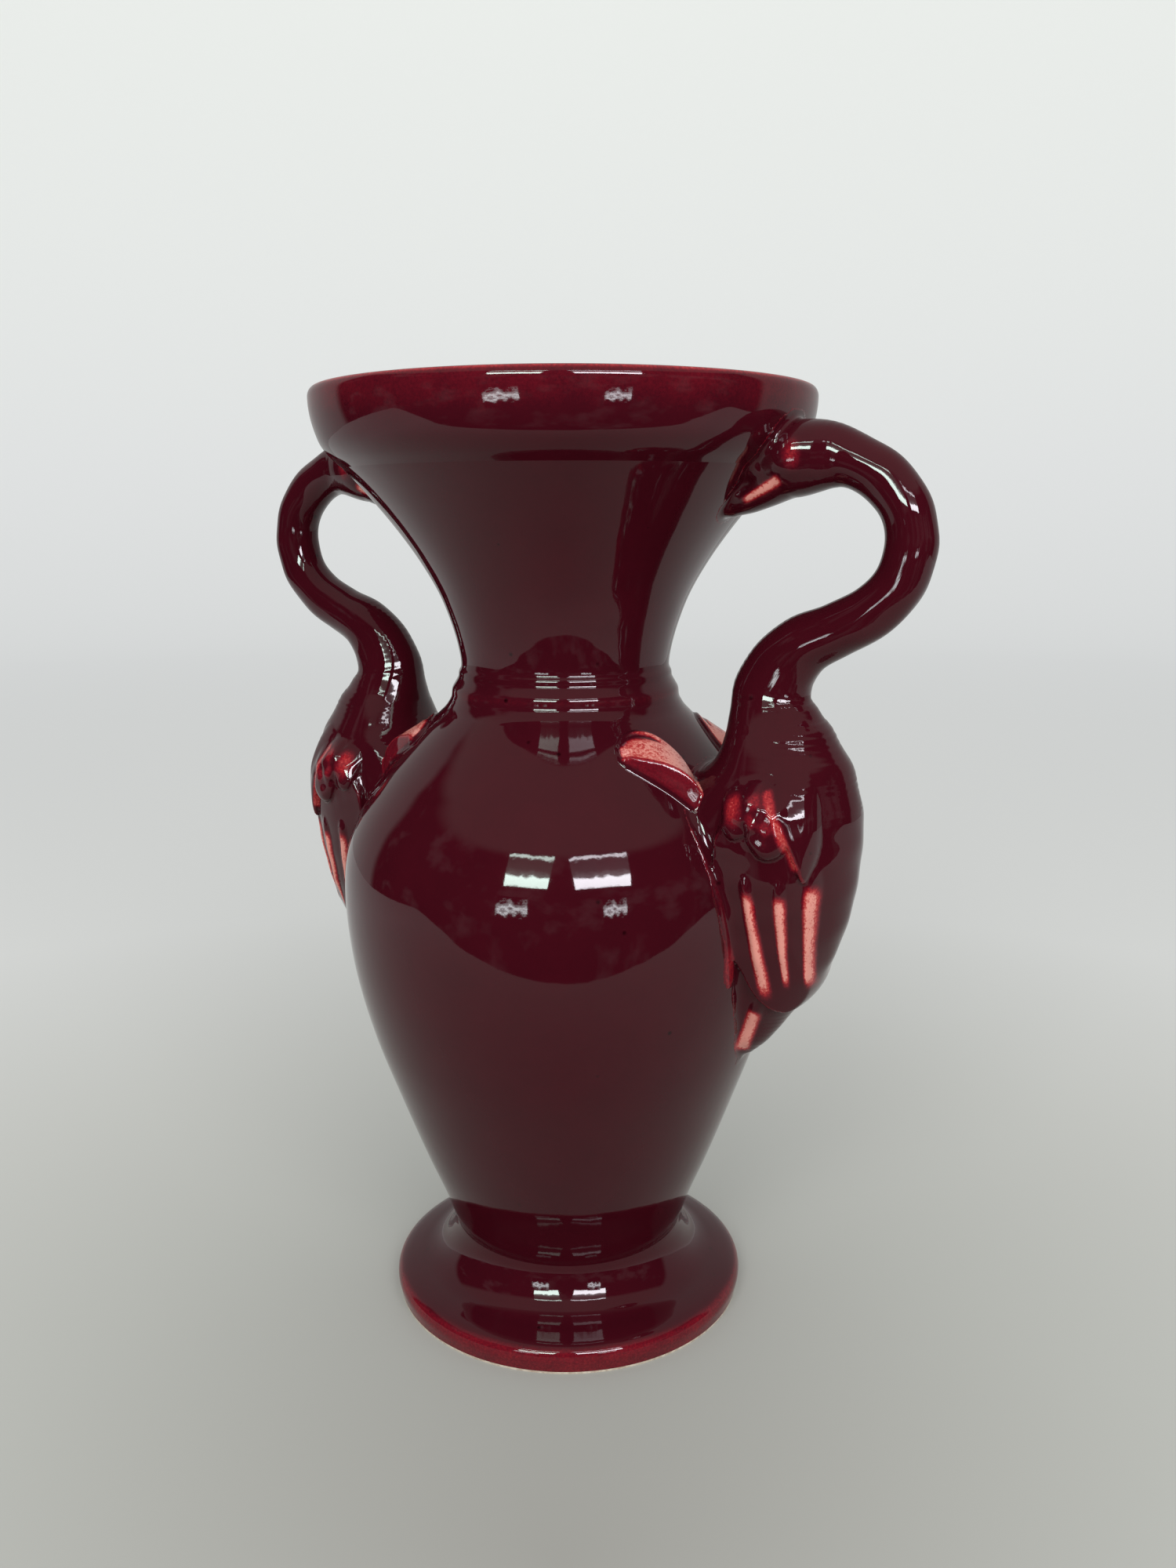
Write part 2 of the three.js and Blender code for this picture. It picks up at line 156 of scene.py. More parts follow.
def nearest_on(path, u, v):
    """For points (u, v): distance to a polyline, the side (+ is right of its way) and the place."""
    a, b = path[:-1, :2], path[1:, :2]
    along = b - a
    length2 = np.maximum((along ** 2).sum(1), 1e-12)
    best = np.full(u.shape, np.inf)
    side = np.zeros(u.shape)
    place = np.zeros(u.shape)
    for i in range(len(a)):
        du, dv = u - a[i, 0], v - a[i, 1]
        t = np.clip((du * along[i, 0] + dv * along[i, 1]) / length2[i], 0, 1)
        eu, ev = du - t * along[i, 0], dv - t * along[i, 1]
        d2 = eu * eu + ev * ev
        closer = d2 < best
        best = np.where(closer, d2, best)
        side = np.where(closer, eu * along[i, 1] - ev * along[i, 0], side)
        place = np.where(closer, i + t, place)
    return np.sqrt(best), np.sign(side), place


def depth_in(path, u, v):
    """Distance to a closed outline, positive inside it and negative outside."""
    within = np.zeros(u.shape, bool)
    for (u0, v0), (u1, v1) in zip(path[:-1, :2], path[1:, :2]):
        if v0 != v1:
            within ^= ((v < v0) != (v < v1)) & (u < u0 + (v - v0) / (v1 - v0) * (u1 - u0))
    distance, _, _ = nearest_on(path, u, v)
    return np.where(within, distance, -distance)


def values_at(path, place, column):
    return np.interp(place, np.arange(len(path)), path[:, column])


class Table:
    """Values worked out once on a flat grid, and read off between its points."""

    def __init__(self, function, low, high, step):
        self.low, self.step = low, step
        u, v = np.meshgrid(*(np.arange(a, b, step) for a, b in zip(low, high)), indexing="ij")
        self.values = np.stack(function(u, v), -1)

    def __call__(self, u, v):
        u, v = (u - self.low[0]) / self.step, (v - self.low[1]) / self.step
        i = np.clip(u.astype(int), 0, self.values.shape[0] - 2)
        j = np.clip(v.astype(int), 0, self.values.shape[1] - 2)
        fu, fv = np.clip(u - i, 0, 1)[:, None], np.clip(v - j, 0, 1)[:, None]
        t = self.values
        low = t[i, j] * (1 - fu) + t[i + 1, j] * fu
        high = t[i, j + 1] * (1 - fu) + t[i + 1, j + 1] * fu
        return (low * (1 - fv) + high * fv).T


class Sweep:
    """Distance to an oval swept along a path in the XZ plane.

    The path's rows are x, z, radius on its right, radius on its left, and half width along Y."""

    def __init__(self, path, low, high):
        def sections(u, v):
            distance, side, place = nearest_on(path, u, v)
            right, left, width = (values_at(path, place, column) for column in (2, 3, 4))
            return [distance, np.where(side > 0, right, left), width]
        self.table = Table(sections, low, high, SECTION_STEP)

    def __call__(self, p):
        distance, depth, width = self.table(p[:, 0], p[:, 2])
        k0 = np.hypot(distance / depth, p[:, 1] / width) + 1e-9
        k1 = np.hypot(distance / depth ** 2, p[:, 1] / width ** 2) + 1e-9
        return k0 * (k0 - 1) / k1


# The swan, drawn for +X in its own plane. Rows: reach, height, radius away from the vase, radius
# towards it, half width. Below the breast the oval is open to the vase.
OPEN = 120.0
TAIL_END = 84.2
TAIL_BLEND = 1.6
SWAN_PATH = catmull_rom([
    (56.8, 84, 0.8, OPEN, 0.8),
    (57.2, 86.2, 3.4, OPEN, 3.2),
    (57.6, 89.2, 5.9, OPEN, 5.4),
    (58.3, 93.5, 8.4, OPEN, 7.4),
    (58.9, 98, 11.2, OPEN, 9.4),
    (59.5, 104, 15, OPEN, 12),
    (60.5, 115, 20.8, OPEN, 14.8),
    (61.5, 130, 25.2, OPEN, 18.2),
    (62, 146, 26.8, 80, 21),
    (62.2, 158, 26.4, 27, 21.2),
    (62.8, 166, 24, 15.4, 19.4),
    (63, 171, 21.5, 12.4, 17),
    (63.2, 176, 17.9, 11.2, 14.2),
    (63.2, 181, 14, 10.8, 11.4),
    (63.7, 187, 10.6, 10.6, 8.9),
    (66.2, 193.2, 9.2, 9.4, 8.2),
    (71.6, 199, 8, 8.3, 7.7),
    (80.4, 203.7, 7.2, 7.1, 7),
    (89.6, 208.6, 6.8, 6.7, 6.6),
    (96.2, 216, 6.6, 6.6, 6.5),
    (98.9, 225.5, 6.6, 6.5, 6.5),
    (96.8, 234.6, 6.5, 6.5, 6.5),
    (91.2, 241.2, 6.6, 6.5, 6.5),
    (85, 245, 6.8, 6.7, 6.6),
    (80, 246.6, 7.6, 7.5, 7.1),
    (75.6, 247.2, 8.4, 8.6, 8.9),
    (70.5, 247.2, 8.8, 9.4, 10.2),
    (66, 246.4, 8.4, 9, 10.2),
    (62, 244.8, 7, 7, 8.6),
], 1.4)
BEAK_PATH = catmull_rom([
    (77, 244, 4.6, 4.6, 6),
    (72, 242.6, 5.4, 4.9, 6.9),
    (66.5, 241.2, 5.6, 4.8, 7.2),
    (60.5, 239.2, 4.8, 4.9, 6.4),
    (55.6, 236.9, 4.2, 4.2, 5.6),
    (51.4, 234.9, 2.8, 3, 3.8),
], 1.2)
BEAK_CREASE = 1.8
BEAK_STROKE = ((67.4, 241.3), (56.2, 235.8), 1.6, 1.1, 0.35)
BEAK_LINE = catmull_rom([(55.4, 238.2), (58.6, 240.6), (62.2, 243.2), (66.4, 245.6)])
BEAK_LINE_DEPTH, BEAK_LINE_HALF = 0.4, 0.7
CHEEK = ((70.8, 247.2), 3.4, 5.6)  # middle, reach and height

# The folded wing, seen from the side (reach, height)
WING_OUTLINE = catmull_rom([
    (62, 167.5), (70, 168), (77.5, 162), (82.3, 151), (84.3, 138), (83.8, 125),
    (81, 112), (77.6, 104.6), (73.8, 101.6), (69.6, 103.2), (66.2, 107), (63.2, 113),
    (60.2, 121), (58.2, 131), (57, 144), (58.4, 158), (62, 167.5),
], 1.5)
WING_THICKNESS = 2.3
WING_TIP_SWELL, WING_TIP_HEIGHTS = 0.35, (112, 100)  # thicker by this share at its tip
WING_EDGE = 0.9  # width over which it rises, to which its front and top add where they are soft
WING_SOFT_FRONT, WING_FRONT_HEIGHTS, WING_FRONT_REACHES = 7.0, (108, 126), (68, 78)
WING_SOFT_TOP, WING_TOP_HEIGHTS = 6.0, (150, 162)

# Strokes, for feather ridges and the tail's: top, bottom, half widths there, and height
FEATHERS = [
    ((66.5, 137.8), (69.6, 106.8), 1.7, 2, 1.1),
    ((74.7, 137.2), (74.6, 110.4), 1.8, 0.9, 1),
    ((81.7, 139.8), (79.2, 109.4), 1.9, 1, 1.1),
]
TAIL_RIDGE = ((65.2, 101.8), (58.7, 86.6), 2.0, 1.8, 0.9)
FEATHER_BLUNT = 0.35  # how soon its height falls off above its top
FEATHER_POWER = 1.4
FEATHER_END = (0.6, 1.0)  # where along its length it sinks away

# Scapular feathers on the wing's shoulder, each lying over the last: outline and thickness
SCAPULARS = [
    ([(60, 163.6), (63.5, 165), (68.4, 161.8), (69, 157), (66, 152.6), (62.6, 151.8),
      (60, 155.2), (59, 160)], 1.5),
    ([(66, 166.4), (70, 166.8), (75.2, 161.5), (77.4, 155), (76.4, 149.6), (73.2, 147),
      (70, 147.6), (67.4, 151.5), (65.6, 157), (64.8, 162.5)], 2.2),
    ([(71.8, 167.5), (76, 170), (80.6, 166), (82.8, 158.5), (83, 150), (81.6, 143.8),
      (80.2, 140.6), (78.4, 145), (76.9, 150), (75, 155.5), (72.4, 161)], 3),
]
SCAPULAR_ROUNDING = 3.0
SCAPULAR_FADE, SCAPULAR_FADE_HEIGHTS = 0.9, (157, 170)  # share of it lost towards the top
SCAPULAR_RIDGE = catmull_rom([
    (71.2, 163.8), (72.6, 161), (75.2, 155.2), (77, 150), (78.6, 145.2),
])

# The unevenness of hand modelling: its heights, and where the small lumps are
BROAD_LUMPS, SMALL_LUMPS = 0.16, 0.45
LUMPS_MIDDLE, LUMPS_SPREAD = (68.0, 157.0), (6.0, 6.5)

# The spread wing tip on the shoulder, round the vase (degrees from the swan's plane, height): its
# lower edge from root to point, its upper edge back, and the crest between them with its thickness
LEAF_LOWER = [
    (19.4, 154.4), (21.4, 156.6), (24, 159.2), (27, 161.7), (30.4, 163.9), (34.5, 166.2),
    (38.6, 168.2),
]
LEAF_UPPER = [
    (40.6, 170), (40.4, 172.4), (37.2, 175), (32, 176.3), (26.5, 176.2), (21.8, 175),
    (17.4, 172.2), (15, 168.6), (15, 164.5), (16.2, 160), (17.6, 156),
]
LEAF_CREST = [
    (40.2, 169.7, 1.5), (37.5, 169.5, 2.3), (34, 168.6, 3), (30.4, 167.4, 3.8), (26.3, 165.8, 4.5),
    (22.6, 163.5, 4.9), (20.2, 160.8, 4.6), (19, 157.8, 3.2), (18.6, 155.2, 1.5),
]
LEAF_FURROW = [  # with its half width
    (38.4, 173.6, 1.3), (35.6, 174.6, 1.3), (32, 174.9, 1.2), (28, 174.5, 1), (24.5, 173.6, 0.7),
    (22.5, 172.8, 0.3),
]
LEAF_FURROW_DEPTH = 0.45
LEAF_MIDDLE = (27.0, 167.5)
LEAF_ROOT_END, LEAF_POINT_END = (16, 163.0), (36, 170.5)  # its plane lies along these
LEAF_REACH = 45  # of its plane's table, from the middle
LEAF_RIM = 0.8  # thickness at its upper edge
LEAF_FOOT = 0.12  # share of its thickness that is upright at its lower edge
LEAF_FRONT_POWER, LEAF_BACK_POWER = 0.75, 0.9
LEAF_EDGE_BLEND = 0.7
LEAF_FILLET = 1.0
SWAN_FILLET = 2.4

# A run of glaze that has gathered in the crease beside the swan: degrees, height, half width
RUN = [
    (24.6, 153, 0.5), (23.2, 143.5, 0.8), (21, 134, 0.9), (19.2, 126, 1), (18.1, 120.5, 1.4),
    (17.3, 115.5, 2), (16.9, 112.6, 1.9), (16.7, 110.9, 1.2),
]
RUN_HEIGHT = 0.45
RUN_SUNK = 0.12  # of its edges, under the glaze
RUN_FILLET = 0.4
RUN_NEAR = 2.5  # it is looked for this close to the vase's skin
RUN_FAR = 9.0  # in half widths, given to every point further off
RUN_SKIRT, RUN_SKIRT_SLOPE = 1.2, 1.5  # where its skirt ends, in half widths, and how steeply


def stroke(u, v, top, bottom, top_half, bottom_half):
    """A brush stroke from top to bottom: place along it from 0 to 1, the share of its half width
    that a point lies beside it, and the share that it lies above its top."""
    top, bottom = np.array(top), np.array(bottom)
    length = np.linalg.norm(bottom - top)
    way = (bottom - top) / length
    along = (u - top[0]) * way[0] + (v - top[1]) * way[1]
    across = (u - top[0]) * way[1] - (v - top[1]) * way[0]
    place = along / length
    half = top_half + (bottom_half - top_half) * smoothstep(0, 1, place)
    return place, across / half, np.minimum(along, 0) / top_half


def feather_height(u, v, top, bottom, top_half, bottom_half, height):
    place, across, before = stroke(u, v, top, bottom, top_half, bottom_half)
    hump = np.clip(1 - across ** 2 - (FEATHER_BLUNT * before) ** 2, 0, 1) ** FEATHER_POWER
    return height * hump * (1 - smoothstep(*FEATHER_END, place))


def lobe_height(u, v, outline, height):
    """A rounded lump inside an outline, lower towards the wing's top."""
    depth = np.clip(depth_in(closed(outline), u, v) / SCAPULAR_ROUNDING, 0, 1)
    fade = 1 - SCAPULAR_FADE * smoothstep(*SCAPULAR_FADE_HEIGHTS, v)
    return height * np.sqrt(1 - (1 - depth) ** 2) * fade


def closed(outline):
    return catmull_rom([*outline, outline[0]], 1.0)


def wing_relief(u, v):
    """How far the folded wing and its feathers stand off the swan's flank."""
    inside = depth_in(WING_OUTLINE, u, v)
    low_front = smoothstep(*WING_FRONT_HEIGHTS, v) * smoothstep(*WING_FRONT_REACHES, u)
    soft_top = WING_SOFT_TOP * smoothstep(*WING_TOP_HEIGHTS, v)
    edge = WING_EDGE + np.maximum(WING_SOFT_FRONT * low_front, soft_top)
    thick = WING_THICKNESS * (1 + WING_TIP_SWELL * smoothstep(*WING_TIP_HEIGHTS, v))
    relief = thick * smoothstep(0, 1, inside / edge)
    lobes = np.zeros(u.shape)
    for outline, height in SCAPULARS:
        lobes = np.maximum(lobes, lobe_height(u, v, outline, height))
    for ridge in FEATHERS:
        relief = relief + feather_height(u, v, *ridge)
    relief = relief + lobes + feather_height(u, v, *TAIL_RIDGE)
    line = BEAK_LINE_DEPTH * np.exp(-(nearest_on(BEAK_LINE, u, v)[0] / BEAK_LINE_HALF) ** 2)
    return [relief, line - feather_height(u, v, *BEAK_STROKE)]


SWAN_LOW, SWAN_HIGH = (24.0, 70.0), (110.0, 264.0)
VASE_LOW, VASE_HIGH = (0, 70), (115, 275)
swan_sweep = Sweep(SWAN_PATH, SWAN_LOW, SWAN_HIGH)
beak_sweep = Sweep(BEAK_PATH, SWAN_LOW, SWAN_HIGH)
wing_table = Table(wing_relief, SWAN_LOW, SWAN_HIGH, PLAN_STEP)


def lumps(p):
    """Slight unevenness: broad waves everywhere, small ones round the first two scapulars."""
    x, y, z = p[:, 0], np.abs(p[:, 1]), p[:, 2]
    broad = np.sin(0.19 * x + 0.31 * z + 1.1) * np.sin(0.27 * z - 0.22 * x + 0.20 * y)
    small = np.sin(0.95 * x + 0.35 * z + 0.6) * np.sin(0.80 * z - 0.45 * x + 2.0)
    off_x, off_z = x - LUMPS_MIDDLE[0], z - LUMPS_MIDDLE[1]
    near = np.exp(-(off_x / LUMPS_SPREAD[0]) ** 2 - (off_z / LUMPS_SPREAD[1]) ** 2)
    return BROAD_LUMPS * broad + SMALL_LUMPS * small * near


def swan_distance(p):
    relief, line = wing_table(p[:, 0], p[:, 2])
    body = smooth_max(swan_sweep(p) - relief - lumps(p), TAIL_END - p[:, 2], TAIL_BLEND)
    return smooth_min(body, beak_sweep(p) + line, BEAK_CREASE)


outlines = (FOOT_OUTSIDE, BODY_OUTSIDE, NECK_OUTSIDE, RIM_OUTSIDE[:RIM_OUTER_POINTS])
outside = [catmull_rom(outline) for outline in outlines]
foot_skin, body_skin, neck_skin, _ = outside
rim_skin = catmull_rom(RIM_OUTSIDE, 0.5)
whole_outside = np.vstack([*outside, [(0.0, VASE_HEIGHT)]])


def turned_distance(u, v):
    distance, side, _ = nearest_on(whole_outside, u, v)
    return [distance * side]


vase_table = Table(turned_distance, VASE_LOW, VASE_HIGH, VASE_STEP)


def vase_distance(p):
    return vase_table(np.hypot(p[:, 0], p[:, 1]), p[:, 2])[0]


def host_distance(p):
    """The vase and the swan together, which the spread wing tip grows out of."""
    return smooth_min(swan_distance(p), vase_distance(p), SWAN_FILLET)


def on_vase(angle, height):
    """Point of the vase's outside, at degrees round from +X towards -Y."""
    radius = np.interp(height, whole_outside[:-1, 1], whole_outside[:-1, 0])
    turn = math.radians(-angle)
    return np.array([radius * math.cos(turn), radius * math.sin(turn), height])


leaf_centre = on_vase(*LEAF_MIDDLE)
leaf_along = on_vase(*LEAF_POINT_END) - on_vase(*LEAF_ROOT_END)
leaf_along /= np.linalg.norm(leaf_along)
leaf_out = leaf_centre * (1, 1, 0) / np.linalg.norm(leaf_centre[:2]) + (0, 0, 1.0)
leaf_out -= leaf_along * leaf_along.dot(leaf_out)
leaf_out /= np.linalg.norm(leaf_out)
leaf_across = np.cross(leaf_out, leaf_along)
leaf_across *= np.sign(leaf_across[2])


def leaf_plane(p):
    q = p - leaf_centre
    return q @ leaf_along, q @ leaf_across


def leaf_curve(points, spacing=1.0):
    """Smooth curve in the leaf's plane; columns after the first two of each row are kept."""
    return catmull_rom([(*leaf_plane(on_vase(*point[:2])), *point[2:]) for point in points], spacing)


leaf_lower = leaf_curve(LEAF_LOWER)
leaf_upper = leaf_curve([LEAF_LOWER[-1], *LEAF_UPPER, LEAF_LOWER[0]])
leaf_outline = np.vstack([leaf_lower, leaf_upper[1:]])
leaf_crest = leaf_curve(LEAF_CREST, 0.7)
leaf_furrow = leaf_curve(LEAF_FURROW, 0.7)


def leaf_plan(u, v):
    """Distance out of the leaf's edge, behind its crest and from its upper edge, furrow, thickness."""
    crest, side, place = nearest_on(leaf_crest, u, v)
    lower, upper = nearest_on(leaf_lower, u, v)[0], nearest_on(leaf_upper, u, v)[0]
    thickness = values_at(leaf_crest, place, 2)
    behind = crest * side
    edge = np.where(behind > 0, upper, lower)
    share = edge / np.maximum(edge + crest, 1e-6)
    front_height = thickness * (LEAF_FOOT + (1 - LEAF_FOOT) * share ** LEAF_FRONT_POWER)
    away, _, along = nearest_on(leaf_furrow, u, v)
    furrow = np.exp(-(away / values_at(leaf_furrow, along, 2)) ** 2)
    back_height = LEAF_RIM + (thickness - LEAF_RIM) * share ** LEAF_BACK_POWER
    height = np.where(behind > 0, back_height - LEAF_FURROW_DEPTH * furrow, front_height)
    return [-depth_in(leaf_outline, u, v), behind, upper, furrow, height]


leaf_table = Table(leaf_plan, (-LEAF_REACH, -LEAF_REACH), (LEAF_REACH, LEAF_REACH), PLAN_STEP)


def on_front(p):
    """The points with those behind the XZ plane mirrored to its front."""
    return np.stack([p[:, 0], -np.abs(p[:, 1]), p[:, 2]], 1)


def leaf_distance(p):
    edge, _, _, _, height = leaf_table(*leaf_plane(on_front(p)))
    return smooth_max(edge, vase_distance(p) - height, LEAF_EDGE_BLEND)


run_path = np.array([(*on_vase(angle, height), width) for angle, height, width in RUN])


def run_share(p):
    """Distance from the run's middle line, as a share of its half width there."""
    q = on_front(p)
    best = np.full(len(q), np.inf)
    for start, end in zip(run_path[:-1], run_path[1:]):
        along = end[:3] - start[:3]
        t = np.clip((q - start[:3]) @ along / along.dot(along), 0, 1)
        away = np.linalg.norm(q - start[:3] - t[:, None] * along, axis=1)
        best = np.minimum(best, away / (start[3] + t * (end[3] - start[3])))
    return best


def swan_and_run(p):
    """The swan grown out of the vase, and the run of glaze in its crease."""
    own, under = swan_distance(p), vase_distance(p)
    share = np.full(len(p), RUN_FAR)
    close = np.abs(under) < RUN_NEAR
    share[close] = run_share(p[close])
    run = under + RUN_SUNK - RUN_HEIGHT * np.sqrt(np.clip(1 - share ** 2, 0, 1))
    skin = smooth_min(smooth_min(own, under + SUNK, SWAN_FILLET), run, RUN_FILLET)
    extent = np.minimum(own - SWAN_FILLET - SKIRT, RUN_SKIRT_SLOPE * (share - RUN_SKIRT))
    return np.maximum(np.maximum(skin, -(under + ROOT)), extent)


def grown_on(form, host, fillet):
    """A form with a fillet where it grows out of its host, and a skirt just under the host's skin."""
    def distance(p):
        own, under = form(p), host(p)
        skin = smooth_min(own, under + SUNK, fillet)
        return np.maximum(np.maximum(skin, -(under + ROOT)), own - fillet - SKIRT)
    return distance


# Meshes from distances

# Boxes and cells of the grids that the forms are drawn on
SWAN_BOX, SWAN_CELL = ((42.0, 0, 74.0), (107.5, 30.0, 260.0)), 0.55
LEAF_BOX, LEAF_CELL = ((26.0, 0, 148.0), (62.0, 40.0, 182.0)), 0.42
PINCH_ROUNDS = 8
JUST_INSIDE = -0.001  # given to a point that is added
LEAST_SLOPE_SQUARED = 0.04
LONGEST_MOVE = 0.4  # of a vertex towards the surface
BEND_STEP = 0.3
BEND_ROUNDS = 4  # of smoothing


def square(one, two):
    """Steps on a grid from a point round a square along two of its axes."""
    steps = np.zeros((4, 3), int)
    steps[[1, 2, 2, 3], [one, one, two, two]] = 1
    return steps


def without_pinches(field):
    """The field with points added where two skins would meet at one edge of the net."""
    for _ in range(PINCH_ROUNDS):
        inside = field < 0
        found = 0
        for one, two in ((0, 1), (0, 2), (1, 2)):
            steps = square(one, two)
            size = np.array(field.shape) - steps[2]
            a, b, c, d = (
                inside[tuple(slice(low, low + n) for low, n in zip(step, size))] for step in steps
            )
            at = np.argwhere((a == c) & (b == d) & (a != b))
            found += len(at)
            around = at[:, None] + steps
            values = field[tuple(np.moveaxis(around, 2, 0))]
            nearest = np.where(values < 0, np.inf, values).argmin(1)
            field[tuple(around[np.arange(len(at)), nearest].T)] = JUST_INSIDE
        if not found:
            break
    return field


def surface_net(distance, low, high, cell):
    """Quads over the zero of a distance that is the same for y and -y."""
    x = np.arange(low[0], high[0], cell)
    y = np.arange(0, high[1], cell)
    z = np.arange(low[2], high[2], cell)
    field = np.empty((len(x), len(y), len(z)), np.float32)
    for i, xi in enumerate(x):
        yy, zz = np.meshgrid(y, z, indexing="ij")
        points = np.stack([np.full(yy.size, xi), yy.ravel(), zz.ravel()], 1)
        field[i] = distance(points).reshape(yy.shape)
    field = without_pinches(np.concatenate([field[:, :0:-1], field], 1))
    y0 = -y[-1]
    inside = field < 0
    count = np.zeros(tuple(n - 1 for n in field.shape), np.int8)
    corners = [(i, j, k) for i in (0, 1) for j in (0, 1) for k in (0, 1)]
    for corner in corners:
        count += inside[tuple(slice(c, c + n) for c, n in zip(corner, count.shape))]
    cells = np.argwhere((count > 0) & (count < 8))
    values = np.stack([field[tuple((cells + corner).T)] for corner in corners], 1)
    total = np.zeros((len(cells), 3))
    crossings = np.zeros(len(cells))
    for a in range(8):
        for axis in range(3):
            if corners[a][axis]:
                continue
            b = a + (4, 2, 1)[axis]
            cross = (values[:, a] < 0) != (values[:, b] < 0)
            gap = np.where(cross, values[:, a] - values[:, b], 1)
            t = np.where(cross, values[:, a] / gap, 0)
            point = np.array(corners[a], float)[None].repeat(len(cells), 0)
            point[:, axis] += t
            total += point * cross[:, None]
            crossings += cross
    verts = (cells + total / crossings[:, None]) * cell + (low[0], y0, low[2])
    index = np.full(count.shape, -1, np.int32)
    index[tuple(cells.T)] = np.arange(len(cells))
    quads = []
    for axis in range(3):
        one, two = (axis + 1) % 3, (axis + 2) % 3
        start = [slice(1, -1)] * 3
        start[axis] = slice(0, -1)
        end = list(start)
        end[axis] = slice(1, None)
        a, b = inside[tuple(start)], inside[tuple(end)]
        at = np.argwhere(a != b)
        out = a[tuple(at.T)]
        at[:, [one, two]] += 1
        around = at[:, None] - square(one, two)
        quad = index[tuple(np.moveaxis(around, 2, 0))]
        quads.append(np.where(out[:, None], quad, quad[:, ::-1]))
    return verts, np.vstack(quads)


def gradient(distance, p, step=0.05):
    out = np.empty_like(p)
    for axis in range(3):
        shift = np.zeros(3)
        shift[axis] = step
        out[:, axis] = (distance(p + shift) - distance(p - shift)) / (2 * step)
    return out


def neighbours(quads, count):
    pairs = np.vstack([quads[:, [i, (i + 1) % 4]] for i in range(4)])
    pairs = np.vstack([pairs, pairs[:, ::-1]])
    degree = np.bincount(pairs[:, 0], minlength=count)

    def mean(values):
        total = [np.bincount(pairs[:, 0], column[pairs[:, 1]], minlength=count) for column in values.T]
        return np.stack(total, 1) / np.maximum(degree, 1)[:, None]
    return mean


def settled(distance, verts, quads, rounds=2):
    """Vertices spread evenly and laid exactly on the surface."""
    mean = neighbours(quads, len(verts))
    for turn in range(rounds + 1):
        if turn < rounds:
            verts = verts + 0.5 * (mean(verts) - verts)
        for _ in range(2):
            slope = gradient(distance, verts)
            size2 = np.maximum((slope ** 2).sum(1), LEAST_SLOPE_SQUARED)
            move = distance(verts) / size2
            verts = verts - slope * np.clip(move, -LONGEST_MOVE, LONGEST_MOVE)[:, None]
    return verts


def bend(distance, verts, quads):
    """Mean curvature of the skin at each vertex, smoothed: positive on ridges."""
    normal = gradient(distance, verts, BEND_STEP)
    normal /= np.linalg.norm(normal, axis=1)[:, None]
    mean = neighbours(quads, len(verts))
    middle = mean(verts)
    spread = (mean(verts ** 2) - middle ** 2).sum(1)
    out = -((middle - verts) * normal).sum(1) / np.maximum(spread, 1e-4) * 2
    for _ in range(BEND_ROUNDS):
        out = 0.5 * out + 0.5 * mean(out[:, None])[:, 0]
    return out


def placed(name, data):
    """An object in the scene for a mesh, a light or a camera."""
    made = bpy.data.objects.new(name, data)
    bpy.context.scene.collection.objects.link(made)
    return made


def mesh_object(name, verts, faces, thin, sharp=50):
    mesh = bpy.data.meshes.new(name)
    mesh.from_pydata((np.asarray(verts) * MM).tolist(), [], [list(map(int, f)) for f in faces])
    layer = mesh.attributes.new("thin", "FLOAT", "POINT")
    layer.data.foreach_set("value", np.asarray(thin, np.float32))
    mesh.shade_smooth()
    mesh.set_sharp_from_angle(angle=math.radians(sharp))
    return placed(name, mesh)


def on_side(x_sign, verts, quads):
    """A mesh made for +X, or its mirror image for -X."""
    return (verts, quads) if x_sign > 0 else (verts * (-1, 1, 1), quads[:, ::-1])


def turned(name, outline, thin, closed):
    """A turned piece. The outline runs from axis to axis, or closes on itself."""
    verts, faces, values, rows = [], [], [], []
    angles = 2 * np.pi * np.arange(SIDES) / SIDES
    for (radius, height), value in zip(outline, thin):
        count = 1 if radius < 1e-6 else SIDES
        rows.append([len(verts) + i % count for i in range(SIDES)])
        verts += [(radius * math.cos(a), radius * math.sin(a), height) for a in angles[:count]]
        values += [value] * count
    for low, high in zip(rows, rows[1:] + rows[:closed]):
        for i in range(SIDES):
            j = (i + 1) % SIDES
            faces.append(tuple(dict.fromkeys((low[i], low[j], high[j], high[i]))))
    return mesh_object(name, verts, faces, values, sharp=40)


def hollow(outline, low, high):
    """An outline moved in by the wall's thickness, from its top down, between two heights."""
    along = np.gradient(outline, axis=0)
    along /= np.linalg.norm(along, axis=1)[:, None]
    moved = outline - WALL * np.stack([along[:, 1], -along[:, 0]], 1)
    return [point for point in moved[::-1] if low < point[1] < high]


def outline_bend(outline):
    """Curvature of an outline, positive where it is convex."""
    along = np.gradient(outline, axis=0)
    length = np.linalg.norm(along, axis=1)
    angle = np.unwrap(np.arctan2(along[:, 1], along[:, 0]))
    return np.gradient(angle) / length


# Materials

def put(tree, source, socket):
    """A value on a socket, or a link to it from another node's socket."""
    if isinstance(source, bpy.types.NodeSocket):
        tree.links.new(source, socket)
    else:
        socket.default_value = source


def node(tree, kind, operation=None, **inputs):
    made = tree.nodes.new(kind)
    if operation:
        made.operation = operation
    for key, source in inputs.items():
        put(tree, source, made.inputs[key.replace("_", " ")])
    return made


def stepped(tree, value, edge, **inputs):
    """A node that goes from 0, or its lowest value, to 1 over an edge."""
    low, high = edge
    return node(tree, "ShaderNodeMapRange", Value=value, From_Min=low, From_Max=high, **inputs)


def noise(tree, place, scale, detail, roughness):
    made = node(
        tree, "ShaderNodeTexNoise", Vector=place, Scale=scale, Detail=detail, Roughness=roughness)
    return made.outputs["Fac"]


